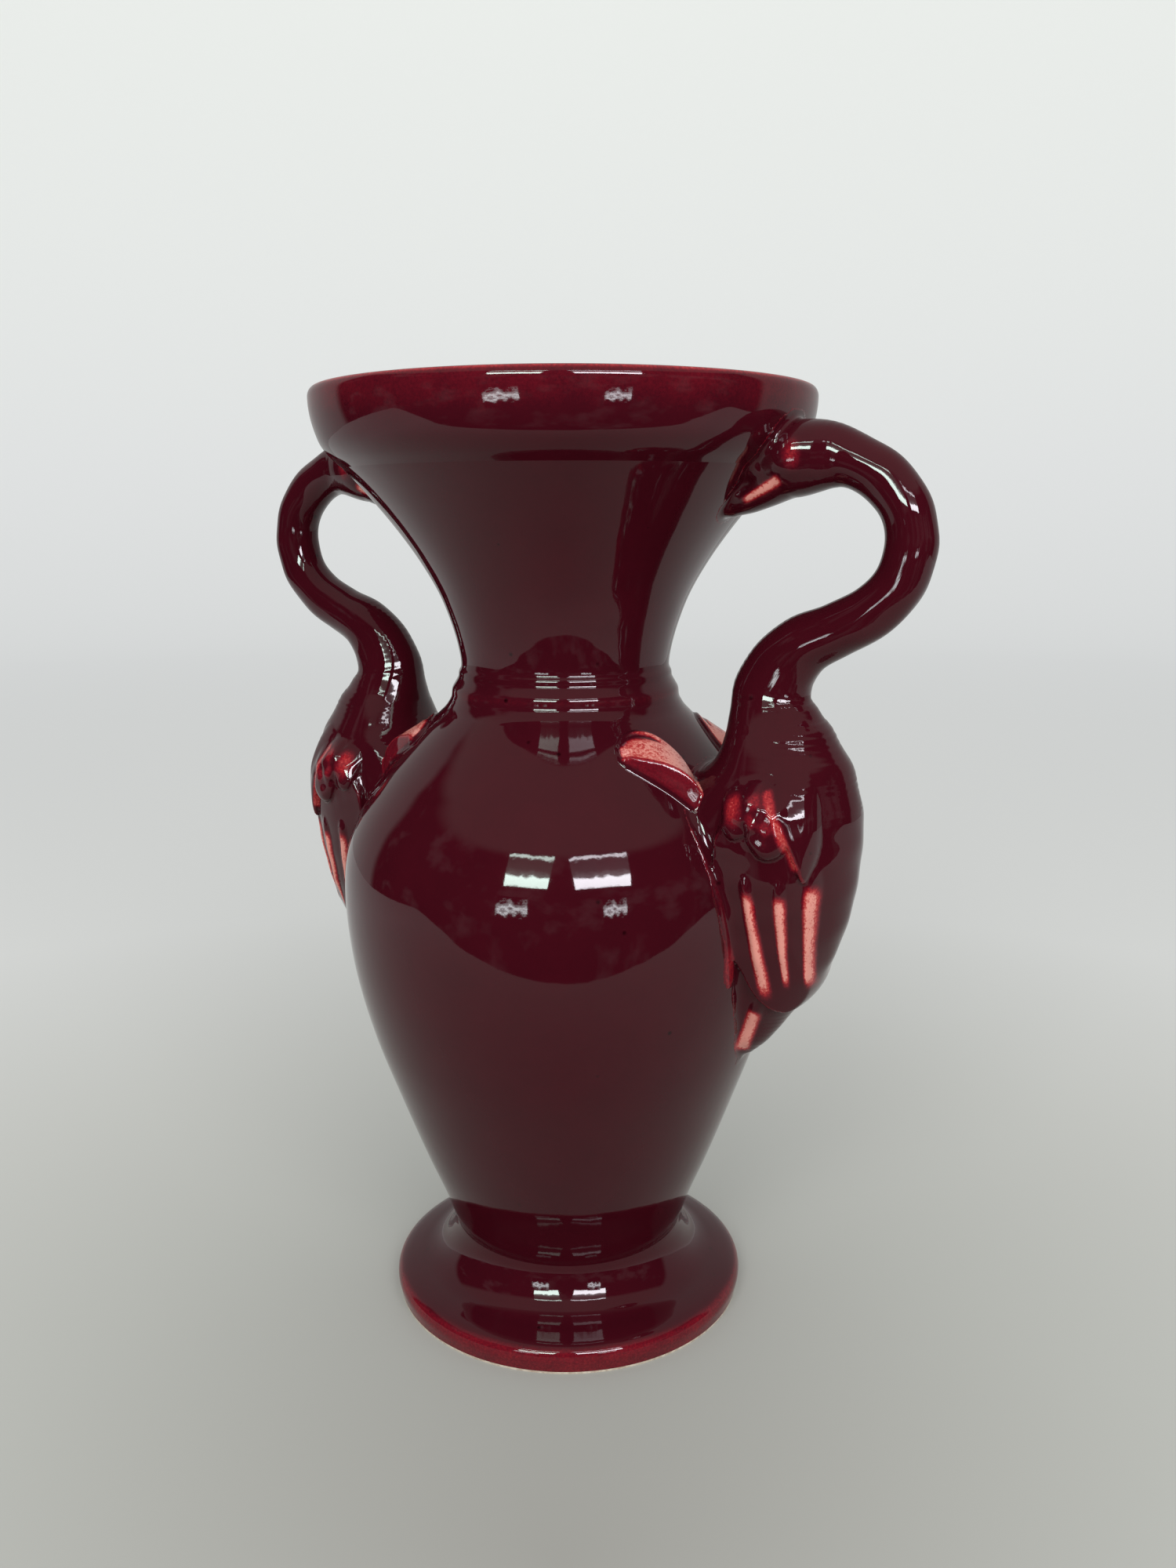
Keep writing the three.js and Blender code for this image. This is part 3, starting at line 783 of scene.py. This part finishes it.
def colour_ramp(tree, source, stops):
    """A colour ramp fed by a socket. Each stop is a position and a colour."""
    ramp = node(tree, "ShaderNodeValToRGB", Fac=source)
    elements = ramp.color_ramp.elements
    while len(elements) < len(stops):
        elements.new(0.5)
    for element, (position, colour) in zip(elements, stops):
        element.position = position
        element.color = (*colour, 1)
    return ramp.outputs["Color"]


def mixed_in(tree, value, share, rest):
    """A socket that gives value * share + rest, where each may be a number or a socket."""
    made = node(tree, "ShaderNodeMath", "MULTIPLY_ADD")
    for source, socket in zip((value, share, rest), made.inputs):
        put(tree, source, socket)
    return made.outputs["Value"]


def new_material(name, roughness):
    """A material, its tree, the socket of a point's own place, and the shader."""
    material = bpy.data.materials.new(name)
    material.use_nodes = True
    tree = material.node_tree
    shader = tree.nodes["Principled BSDF"]
    shader.inputs["Roughness"].default_value = roughness
    return material, tree, tree.nodes.new("ShaderNodeTexCoord").outputs["Object"], shader


# The glaze. Noises have a scale, a detail and a roughness.
CLOUD, GRAIN, WAVES = (90.0, 4.0, 0.6), (1500.0, 2.0, 0.7), (60.0, 2.0, 0.5)
CLOUD_SHARE, CLOUD_LOSS, GRAIN_SHARE = 0.70, -0.15, 1.60  # in how thin it lies
CLOUD_TINT = 0.09  # in its colour where it lies thick
GRAIN_BUMP = 0.015
SPECK_SCALE, SPECK_EDGE, SPECK_DARK = 85.0, (0.02, 0.07), 0.25
GLAZE_COLOURS = [  # from thick to thin: how thin it lies, and its colour there
    (0.02, (0.036, 0.0025, 0.0058)),
    (0.10, (0.046, 0.0030, 0.0070)),
    (0.28, (0.130, 0.0055, 0.0120)),
    (0.48, (0.300, 0.0150, 0.0200)),
    (0.66, (0.450, 0.0750, 0.0650)),
    (0.90, (0.640, 0.2500, 0.2050)),
]
CLAY_GRAIN = (700.0, 3.0, 0.5)
CLAY_COLOURS = [(0.35, (0.42, 0.33, 0.25)), (0.60, (0.62, 0.54, 0.44))]


def glaze(name):
    """Oxblood glaze: dark where it lies thick, bright red then salmon pink where it breaks thin."""
    material, tree, place, shader = new_material(name, 0.04)
    shader.inputs["IOR"].default_value = 1.38
    thin = tree.nodes.new("ShaderNodeAttribute")
    thin.attribute_name = "thin"
    cloud, grain = noise(tree, place, *CLOUD), noise(tree, place, *GRAIN)
    mottle = mixed_in(tree, grain, GRAIN_SHARE, mixed_in(tree, cloud, CLOUD_SHARE, CLOUD_LOSS))
    spread = mixed_in(tree, thin.outputs["Fac"], mottle, 0.0)
    colour = colour_ramp(tree, mixed_in(tree, cloud, CLOUD_TINT, spread), GLAZE_COLOURS)
    specks = node(tree, "ShaderNodeTexVoronoi", Vector=place, Scale=SPECK_SCALE)
    clear = stepped(tree, specks.outputs["Distance"], SPECK_EDGE, To_Min=SPECK_DARK)
    speckled = node(
        tree, "ShaderNodeVectorMath", "SCALE", Vector=colour, Scale=clear.outputs["Result"])
    put(tree, speckled.outputs["Vector"], shader.inputs["Base Color"])
    skin = mixed_in(tree, grain, GRAIN_BUMP, noise(tree, place, *WAVES))
    bump = node(tree, "ShaderNodeBump", Strength=0.2, Distance=0.0004, Height=skin)
    put(tree, bump.outputs["Normal"], shader.inputs["Normal"])
    return material


def bare_clay(name):
    """The pale body where no glaze has run."""
    material, tree, place, shader = new_material(name, 0.85)
    colour = colour_ramp(tree, noise(tree, place, *CLAY_GRAIN), CLAY_COLOURS)
    put(tree, colour, shader.inputs["Base Color"])
    return material


glaze_red = glaze("glaze_red")
clay = bare_clay("bare_clay")

# Turned pieces
foot_outline = np.vstack([FOOT_UNDERSIDE, foot_skin, [(0, FOOT_TOP)]])
foot_edge = FOOT_EDGE_THIN * smoothstep(*FOOT_EDGE_HEIGHTS, foot_skin[:, 1])
foot_thin = np.concatenate([np.zeros(len(FOOT_UNDERSIDE)), foot_edge, [0]])
foot = turned("foot_glazed", foot_outline, foot_thin, False)

base_top = FOOT_TOP + BASE_THICKNESS
body_outline = np.vstack([
    [(0, FOOT_TOP)], body_skin, [(COLLAR_BORE, BODY_TOP)],
    hollow(body_skin, base_top + 2 * CORNER, BODY_TOP - CORNER),
    [(BASE_RADIUS, base_top), (0, base_top)],
])
body = turned("body_glazed", body_outline, np.zeros(len(body_outline)), False)

neck_inside = hollow(catmull_rom(NECK_CORE), BODY_TOP + CORNER, NECK_TOP - CORNER)
neck_outline = np.vstack([
    neck_skin, [(MOUTH_BORE, NECK_TOP)], neck_inside, [(COLLAR_BORE, BODY_TOP)],
])
neck_thin = np.zeros(len(neck_outline))
from_bead = (neck_skin[:, 1] - BEAD_HEIGHT) / BEAD_HALF
neck_thin[:len(neck_skin)] = BEAD_THIN * np.exp(-from_bead ** 2)
neck = turned("neck_glazed", neck_outline, neck_thin, True)

on_face = rim_skin[:, 0] > RIM_FACE_INNER
rim_face = RIM_FACE_THIN * smoothstep(*RIM_FACE_HEIGHTS, rim_skin[:, 1]) * on_face
rim_edge = RIM_EDGE_THIN * smoothstep(*RIM_EDGE_BEND, outline_bend(rim_skin))
rim = turned("rim_glazed", rim_skin, np.maximum(rim_edge, rim_face), True)

for piece, cad_node, slot in (
    (foot, "foot", "glaze_foot"), (body, "body", "glaze_body"),
    (neck, "neck", "glaze_body"), (rim, "rim", "glaze_body"),
):
    piece.data.materials.append(glaze_red)
    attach(piece, "root")
    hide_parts(cad_node)

foot.data.materials.append(clay)
for face in foot.data.polygons:
    if max(foot.data.vertices[i].co.z for i in face.vertices) < CLAY_TOP * MM:
        face.material_index = 1


# Swans. How thin the glaze runs on them, from 0 to 1, and where
STROKE_THIN = 1.05
STROKE_TOP, STROKE_BOTTOM = (-0.05, 0.12), (1.04, 0.82)
STROKE_SIDE = (1.22, 0.12)
RIDGE_THIN, RIDGE_BEND = 0.18, (0.22, 0.6)
LOBE_EDGE = (0.2, 3.4)
FIRST_LOBE_THIN, FIRST_LOBE_HEIGHTS, FIRST_LOBE_REACHES = 0.44, (153, 159), (67.5, 63.0)
SECOND_LOBE_THIN, SECOND_LOBE_BLOTCH, SECOND_LOBE_HEIGHTS = 0.08, 0.20, (148, 158)
SCAPULAR_RIDGE_THIN, SCAPULAR_RIDGE_SIDE = 0.50, (1.7, 0.2)
CHEEK_THIN, CHEEK_EDGE = 0.34, (1, 0.1)
RUN_THIN, RUN_LOSS, RUN_LOSS_HEIGHTS, RUN_SIDE = 0.30, 0.20, (116, 124), (1.15, 0.7)


def stroke_thin(u, v, top, bottom, top_half, bottom_half):
    """Glaze that breaks along a stroke: thinnest in the middle, its ends drawn out."""
    place, across, _ = stroke(u, v, top, bottom, top_half, bottom_half)
    ends = smoothstep(*STROKE_TOP, place) * smoothstep(*STROKE_BOTTOM, place)
    return STROKE_THIN * ends * smoothstep(*STROKE_SIDE, np.abs(across))


def swan_thin(p, ridges):
    """Where the glaze breaks: strokes of the feathers, tail and beak, lumps and convex edges."""
    u, v = p[:, 0], p[:, 2]
    flank = np.abs(p[:, 1]) > 1
    strokes = [stroke_thin(u, v, *ends) for *ends, _ in [*FEATHERS, TAIL_RIDGE, BEAK_STROKE]]
    first, second = (
        smoothstep(*LOBE_EDGE, depth_in(closed(outline), u, v)) for outline, _ in SCAPULARS[:2]
    )
    first = FIRST_LOBE_THIN * first * smoothstep(*FIRST_LOBE_HEIGHTS, v)
    blotch = smoothstep(-0.3, 0.6, np.sin(0.9 * u + 0.5 * v) * np.sin(0.7 * v - 0.5 * u + 1.0))
    second = (SECOND_LOBE_THIN + SECOND_LOBE_BLOTCH * blotch) * second
    ridge = nearest_on(SCAPULAR_RIDGE, u, v)[0]
    (cheek_u, cheek_v), reach, height = CHEEK
    off_cheek = np.hypot((u - cheek_u) / reach, (v - cheek_v) / height)
    run = RUN_THIN - RUN_LOSS * smoothstep(*RUN_LOSS_HEIGHTS, v)
    return np.maximum.reduce([
        RIDGE_THIN * smoothstep(*RIDGE_BEND, ridges),
        *(flank * one for one in strokes),
        first * smoothstep(*FIRST_LOBE_REACHES, u),
        second * smoothstep(*SECOND_LOBE_HEIGHTS, v),
        SCAPULAR_RIDGE_THIN * smoothstep(*SCAPULAR_RIDGE_SIDE, ridge),
        CHEEK_THIN * smoothstep(*CHEEK_EDGE, off_cheek) * flank,
        run * smoothstep(*RUN_SIDE, run_share(p)),
    ])


swan_verts, swan_quads = surface_net(swan_and_run, *SWAN_BOX, SWAN_CELL)
swan_verts = settled(swan_and_run, swan_verts, swan_quads)
swan_shape = swan_thin(swan_verts, bend(swan_and_run, swan_verts, swan_quads))

leaf_form = grown_on(leaf_distance, host_distance, LEAF_FILLET)
leaf_verts, leaf_quads = surface_net(leaf_form, *LEAF_BOX, LEAF_CELL)
leaf_verts = settled(leaf_form, leaf_verts, leaf_quads)

# How thin the glaze runs on the wing tips, and what takes from it
PINK, PINK_LOSS, PINK_LOSS_REACHES, PINK_BLOTCH, PINK_FURROW = 0.86, 0.10, (2, 10), 0.14, 0.95
PINK_BEHIND, PINK_UNDER, PINK_PROUD = (0.0, 0.9), (0.2, 1.1), (0.4, 1.0)
FRONT_THIN, FRONT_SIDE = 0.18, (0.3, -0.3)
CREST_THIN, CREST_SIDE = 0.36, (0.9, 0.2)
UPRIGHT_PROUD = (0.5, 1.4)
LEAF_MARGIN = 0.6  # beyond its edge, where the skirt begins


def leaf_thin(p):
    """Pink behind the crest, and red on the upright front."""
    u, v = leaf_plane(on_front(p))
    edge, behind, upper, furrow, _ = leaf_table(u, v)
    proud = vase_distance(p)
    top = smoothstep(*PINK_BEHIND, behind) * smoothstep(*PINK_UNDER, upper)
    blotch = smoothstep(-0.2, 0.9, np.sin(0.6 * u + 0.9 * v + 0.5) * np.sin(0.9 * v - 0.3 * u + 1.0))
    pink = PINK - PINK_LOSS * smoothstep(*PINK_LOSS_REACHES, u) - PINK_BLOTCH * blotch
    pink = pink * (1 - PINK_FURROW * furrow) * top * smoothstep(*PINK_PROUD, proud)
    front = FRONT_THIN * smoothstep(*FRONT_SIDE, behind)
    crest = CREST_THIN * smoothstep(*CREST_SIDE, np.abs(behind))
    upright = np.maximum(front, crest) * smoothstep(*UPRIGHT_PROUD, proud)
    return np.where(edge < LEAF_MARGIN, np.maximum(pink, upright), 0)


leaf_shape = leaf_thin(leaf_verts)


def half_of(verts, quads, values, sign):
    """The faces on one side of the XZ plane."""
    kept = (verts[quads][:, :, 1] * sign > 0).all(1)
    used, index = np.unique(quads[kept], return_inverse=True)
    return verts[used], index.reshape(-1, 4), values[used]


BOTH_SIDES = (("right", 1), ("left", -1))
for side, x_sign in BOTH_SIDES:
    swan = mesh_object(f"{side}_swan", *on_side(x_sign, swan_verts, swan_quads), swan_shape)
    swan.data.materials.append(glaze_red)
    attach(swan, "root")
    parts = ("swan_body", "swan_neck", "wing_front", "wing_back")
    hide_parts(*[f"{side}_{part}" for part in parts])

for side, x_sign in BOTH_SIDES:
    for place, y_sign in (("front", -1), ("back", 1)):
        verts, quads, values = half_of(leaf_verts, leaf_quads, leaf_shape, y_sign)
        tip_name = f"{side}_wing_tip_{place}"
        tip = mesh_object(f"{tip_name}_glazed", *on_side(x_sign, verts, quads), values)
        tip.data.materials.append(glaze_red)
        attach(tip, "root")
        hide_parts(tip_name)

# Camera: the photograph's own view, fitted to the rim and the foot. Lengths in vase heights.
CAMERA_BACK = 1.4133
CAMERA_UP = 0.872
CAMERA_SIDE = 0.0241
CAMERA_PITCH = math.radians(11.458)
CAMERA_ROLL = math.radians(-0.16)
CAMERA_FOCAL_PX = 1677.2
PHOTO_LONG_PX = 2000
SENSOR = 36  # its long side, in millimetres
HANDLE_TURN = math.radians(30)  # the camera stands this far round from square to the handles

camera_data = bpy.data.cameras.new("photo_camera")
camera_data.sensor_width = SENSOR
camera_data.lens = SENSOR * CAMERA_FOCAL_PX / PHOTO_LONG_PX
camera_data.clip_start = 0.01
camera = placed("photo_camera", camera_data)
unit = VASE_HEIGHT * MM
turn = Matrix.Rotation(HANDLE_TURN, 4, "Z")
place = Matrix.Translation((CAMERA_SIDE * unit, -CAMERA_BACK * unit, CAMERA_UP * unit))
tilt = Matrix.Rotation(math.pi / 2 - CAMERA_PITCH, 4, "X")
roll = Matrix.Rotation(CAMERA_ROLL, 4, "Z")
camera.matrix_world = turn @ place @ tilt @ roll
bpy.context.scene.camera = camera

# Floor and backdrop: one pale sweep of paper, turned about the vase. Metres.
TO_CAMERA = turn @ Vector((0, -1, 0))
SWEEP_NEAR = (1.00, 0.275, 1.00)  # how far the glaze mirrors it: aside, ahead and behind
SWEEP_NEAR_POWER = 8  # of its rounded outline
SWEEP_MIDDLE = 1.5
# The paper's painted shade is centred this far towards the camera from the vase.
SWEEP_CENTRE = 0.12  # how far towards the camera the paper is darkest
SWEEP_FLAT = 2.0
SWEEP_BEND = 1.2
SWEEP_HEIGHT = 7.0
SWEEP_START = 0.001  # it has a pinhole in the middle, under the vase
SWEEP_ANGLES = 2 * np.pi * np.arange(SIDES) / SIDES
BEND_RINGS = 25
# Painted shade and light on the paper: colour by distance from near the vase plus height, in metres,
# darkest where shade falls near the vase and palest high up the wall.
PAPER_PAINTED_SHADE = [
    (0.0, (0.325, 0.318, 0.292)),
    (0.16, (0.435, 0.437, 0.405)),
    (0.30, (0.51, 0.51, 0.48)),
    (0.52, (0.63, 0.63, 0.61)),
    (2.00, (0.74, 0.74, 0.73)),
    (3.30, (0.84, 0.84, 0.83)),
    (4.80, (0.96, 0.97, 0.93)),
]


def paper_with_painted_shade():
    """Paper with painted shade and light: darkest near the vase and a little towards the camera, where
    shade falls, and paler the further it lies, over the floor and up the wall, where more light falls.
    """
    material, tree, place, shader = new_material("paper_painted_shade", 0.9)
    shader.inputs["Specular IOR Level"].default_value = 0.0
    parts = node(tree, "ShaderNodeSeparateXYZ", Vector=place).outputs
    flat = node(tree, "ShaderNodeCombineXYZ", X=parts["X"], Y=parts["Y"])
    reach = node(tree, "ShaderNodeVectorMath", "DISTANCE", Vector=flat.outputs["Vector"])
    reach.inputs[1].default_value = TO_CAMERA * SWEEP_CENTRE
    travel = mixed_in(tree, reach.outputs["Value"], 1.0, parts["Z"])
    furthest = PAPER_PAINTED_SHADE[-1][0]
    share = mixed_in(tree, travel, 1 / furthest, 0.0)
    colour = colour_ramp(tree, share, [(place / furthest, colour) for place, colour in PAPER_PAINTED_SHADE])
    put(tree, colour, shader.inputs["Base Color"])
    return material


def sweep_piece(name, rings, material):
    """A turned sheet facing the vase. Each ring is its radii round the vase, and its height."""
    verts = [
        (radius * math.cos(angle), radius * math.sin(angle), height)
        for radii, height in rings for radius, angle in zip(radii, SWEEP_ANGLES)
    ]
    rows = np.arange(len(verts)).reshape(-1, SIDES)
    low, high = rows[:-1], rows[1:]
    faces = np.stack([low, high, np.roll(high, -1, 1), np.roll(low, -1, 1)], -1).reshape(-1, 4)
    mesh = bpy.data.meshes.new(name)
    mesh.from_pydata(verts, [], faces.tolist())
    mesh.shade_smooth()
    mesh.materials.append(material)
    made = placed(name, mesh)
    return made


aside, ahead = np.cos(SWEEP_ANGLES - HANDLE_TURN), np.sin(SWEEP_ANGLES - HANDLE_TURN)
near_reach = (SWEEP_NEAR[0], np.where(ahead < 0, SWEEP_NEAR[1], SWEEP_NEAR[2]))
near_edge = sum(
    np.abs(share / half) ** SWEEP_NEAR_POWER for share, half in zip((aside, ahead), near_reach)
) ** (-1 / SWEEP_NEAR_POWER)
even = np.ones(SIDES)
paper = paper_with_painted_shade()
sweep_piece("floor_near", [(SWEEP_START * even, 0), (near_edge, 0)], paper)
far_floor = sweep_piece(
    "floor_far", [(near_edge, 0), (SWEEP_MIDDLE * even, 0), (SWEEP_FLAT * even, 0)], paper)
far_floor.visible_glossy = False
wall_rings = [
    ((SWEEP_FLAT + SWEEP_BEND * math.sin(a)) * even, SWEEP_BEND * (1 - math.cos(a)))
    for a in np.linspace(0, math.pi / 2, BEND_RINGS)
]
wall_rings.append(((SWEEP_FLAT + SWEEP_BEND) * even, SWEEP_HEIGHT))
wall = sweep_piece("backdrop", wall_rings, paper)
wall.visible_glossy = False
wall.visible_diffuse = False
wall.visible_shadow = False

# Light. The room that the glaze mirrors is pale behind the vase and dark behind the camera.
ROOM_DARK = (0.010, 0.007, 0.008)
ROOM_SHAPES = (0.34, 0.27, 0.28)  # brightest of the faint shapes in it
ROOM_NOISE, ROOM_NOISE_EDGE = (3.2, 3.0, 0.6), (0.52, 0.66)  # that they are drawn by
ROOM_CEILING = (0.50, 0.45, 0.42)
ROOM_PALE = (0.46, 0.465, 0.455)
ROOM_BACK = 111  # the middle of its pale part, in degrees round from +X
ROOM_EDGE = (0.20, 0.30)  # how far towards there the dark room gives way to the pale
CEILING_EDGE = (0.60, 0.70)  # how far up the dark room gives way to the ceiling
SKY = (0.84, 0.86, 0.87)  # the soft light that falls on everything

world = bpy.data.worlds.new("studio")
bpy.context.scene.world = world
world.use_nodes = True
world.cycles.sampling_method = "NONE"
tree = world.node_tree
looked_in = tree.nodes.new("ShaderNodeTexCoord").outputs["Generated"]


def share_along(direction, edge):
    """How far the way looked in leans to a direction, from 0 to 1 between two cosines."""
    lean = node(tree, "ShaderNodeVectorMath", "DOT_PRODUCT", Vector=looked_in)
    lean.inputs[1].default_value = direction
    share = stepped(tree, lean.outputs["Value"], edge)
    share.interpolation_type = "SMOOTHSTEP"
    return share.outputs["Result"]


def way_to(azimuth, elevation):
    """The direction at degrees round from +X and degrees up."""
    turn_to, rise = math.radians(azimuth), math.radians(elevation)
    out = math.cos(rise)
    return Vector((out * math.cos(turn_to), out * math.sin(turn_to), math.sin(rise)))


def colour_mix(share, *colours):
    made = tree.nodes.new("ShaderNodeMix")
    made.data_type = "RGBA"
    put(tree, share, made.inputs["Factor"])
    for name, colour in zip("AB", colours):
        put(tree, (*colour, 1) if isinstance(colour, tuple) else colour, made.inputs[name])
    return made.outputs["Result"]


lit = stepped(tree, noise(tree, looked_in, *ROOM_NOISE), ROOM_NOISE_EDGE)
room = colour_mix(lit.outputs["Result"], ROOM_DARK, ROOM_SHAPES)
room = colour_mix(share_along((0, 0, 1), CEILING_EDGE), room, ROOM_CEILING)
room = colour_mix(share_along(way_to(ROOM_BACK, 0), ROOM_EDGE), room, ROOM_PALE)
mirrored = tree.nodes.new("ShaderNodeLightPath").outputs["Is Glossy Ray"]
background = tree.nodes["Background"].inputs
put(tree, colour_mix(mirrored, SKY, room), background["Color"])
background["Strength"].default_value = 1.0


# Panes. Each band is a height in the pane, with the ragged edge's noise added, and its light.
PANE_LIGHT = 38.0
PANE_TOP = 2.0  # height that the bands may reach
WINDOW_BANDS = [
    (0.12, 0.02), (0.20, 0.9), (0.46, 1.0), (0.52, 0.10), (0.66, 0.03), (0.94, 0.02), (0.98, 0.55),
    (1.03, 0.55), (1.07, 0.01),
]
CLUTTER_BANDS = [(0.98, 0.0), (1.10, 0.25), (1.24, 0.55), (1.30, 0.20), (1.48, 0.10), (1.56, 0.0)]
WINDOW_RAGGED, WINDOW_SCALE = 0.30, 7.0
CLUTTER_RAGGED, CLUTTER_SCALE = 1.5, 3.0
PANE_DETAIL, PANE_ROUGHNESS = 4.0, 0.7
WINDOW_AIM = Vector((0, 0, 0.13))  # the place on the vase's axis that the windows face


def pane_material(name, tint, bands, ragged, scale):
    """What shows in a window: bands of light up its height, ragged at their edges."""
    material = bpy.data.materials.new(name)
    material.use_nodes = True
    tree = material.node_tree
    tree.nodes.clear()
    place = tree.nodes.new("ShaderNodeTexCoord").outputs["Generated"]
    up = node(tree, "ShaderNodeSeparateXYZ", Vector=place).outputs["Y"]
    edge = noise(tree, place, scale, PANE_DETAIL, PANE_ROUGHNESS)
    height = mixed_in(tree, edge, ragged, up)
    stops = [(place / PANE_TOP, tuple(light * share for share in tint)) for place, light in bands]
    colour = colour_ramp(tree, mixed_in(tree, height, 1 / PANE_TOP, 0.0), stops)
    shine = node(tree, "ShaderNodeEmission", Color=colour, Strength=PANE_LIGHT)
    node(tree, "ShaderNodeOutputMaterial", Surface=shine.outputs["Emission"])
    return material


def face(made, place, way):
    """Puts an object in its place, with its back to the vase's axis along a way."""
    made.location = place
    made.rotation_euler = way.to_track_quat("Z", "Y").to_euler()


def pane(name, place, way, size, material):
    """A lit rectangle that shows only in what the glaze mirrors."""
    mesh = bpy.data.meshes.new(name)
    w, h = size[0] / 2, size[1] / 2
    mesh.from_pydata([(-w, -h, 0), (w, -h, 0), (w, h, 0), (-w, h, 0)], [], [(0, 1, 2, 3)])
    mesh.materials.append(material)
    made = placed(name, mesh)
    made.visible_camera = False
    made.visible_diffuse = False
    made.visible_shadow = False
    face(made, place, way)


def window(name, azimuth, elevation, distance, size, power, tint):
    """A soft light aimed at the vase, and the pane that the glaze mirrors in its place."""
    way = way_to(azimuth, elevation)
    place = WINDOW_AIM + way * distance
    data = bpy.data.lights.new(name, "AREA")
    data.shape = "RECTANGLE"
    data.size, data.size_y = size
    data.energy = power
    light = placed(name, data)
    light.visible_glossy = False
    face(light, place, way)
    name = name + "_pane"
    material = pane_material(name, tint, WINDOW_BANDS, WINDOW_RAGGED, WINDOW_SCALE)
    pane(name, place, way, size, material)


def lit_clutter(name, azimuth, height, distance, size, tint):
    """Pale things that stand on the table towards the windows."""
    way = way_to(azimuth, 0)
    place = way * distance + Vector((0, 0, height))
    material = pane_material(name, tint, CLUTTER_BANDS, CLUTTER_RAGGED, CLUTTER_SCALE)
    pane(name, place, way, size, material)


window("window_left", -79.5, 31, 1.35, (0.50, 0.56), 6, (0.80, 1.0, 0.92))
window("window_right", -40.5, 31, 1.35, (0.64, 0.56), 6, (0.95, 0.93, 1.0))
lit_clutter("clutter_left", -84, 0.150, 0.47, (0.12, 0.15), (0.90, 0.97, 1.0))
lit_clutter("clutter_right", -37.5, 0.150, 0.47, (0.09, 0.15), (0.92, 0.94, 1.0))

bpy.context.scene.view_settings.view_transform = "Standard"

bpy.context.view_layer.update()
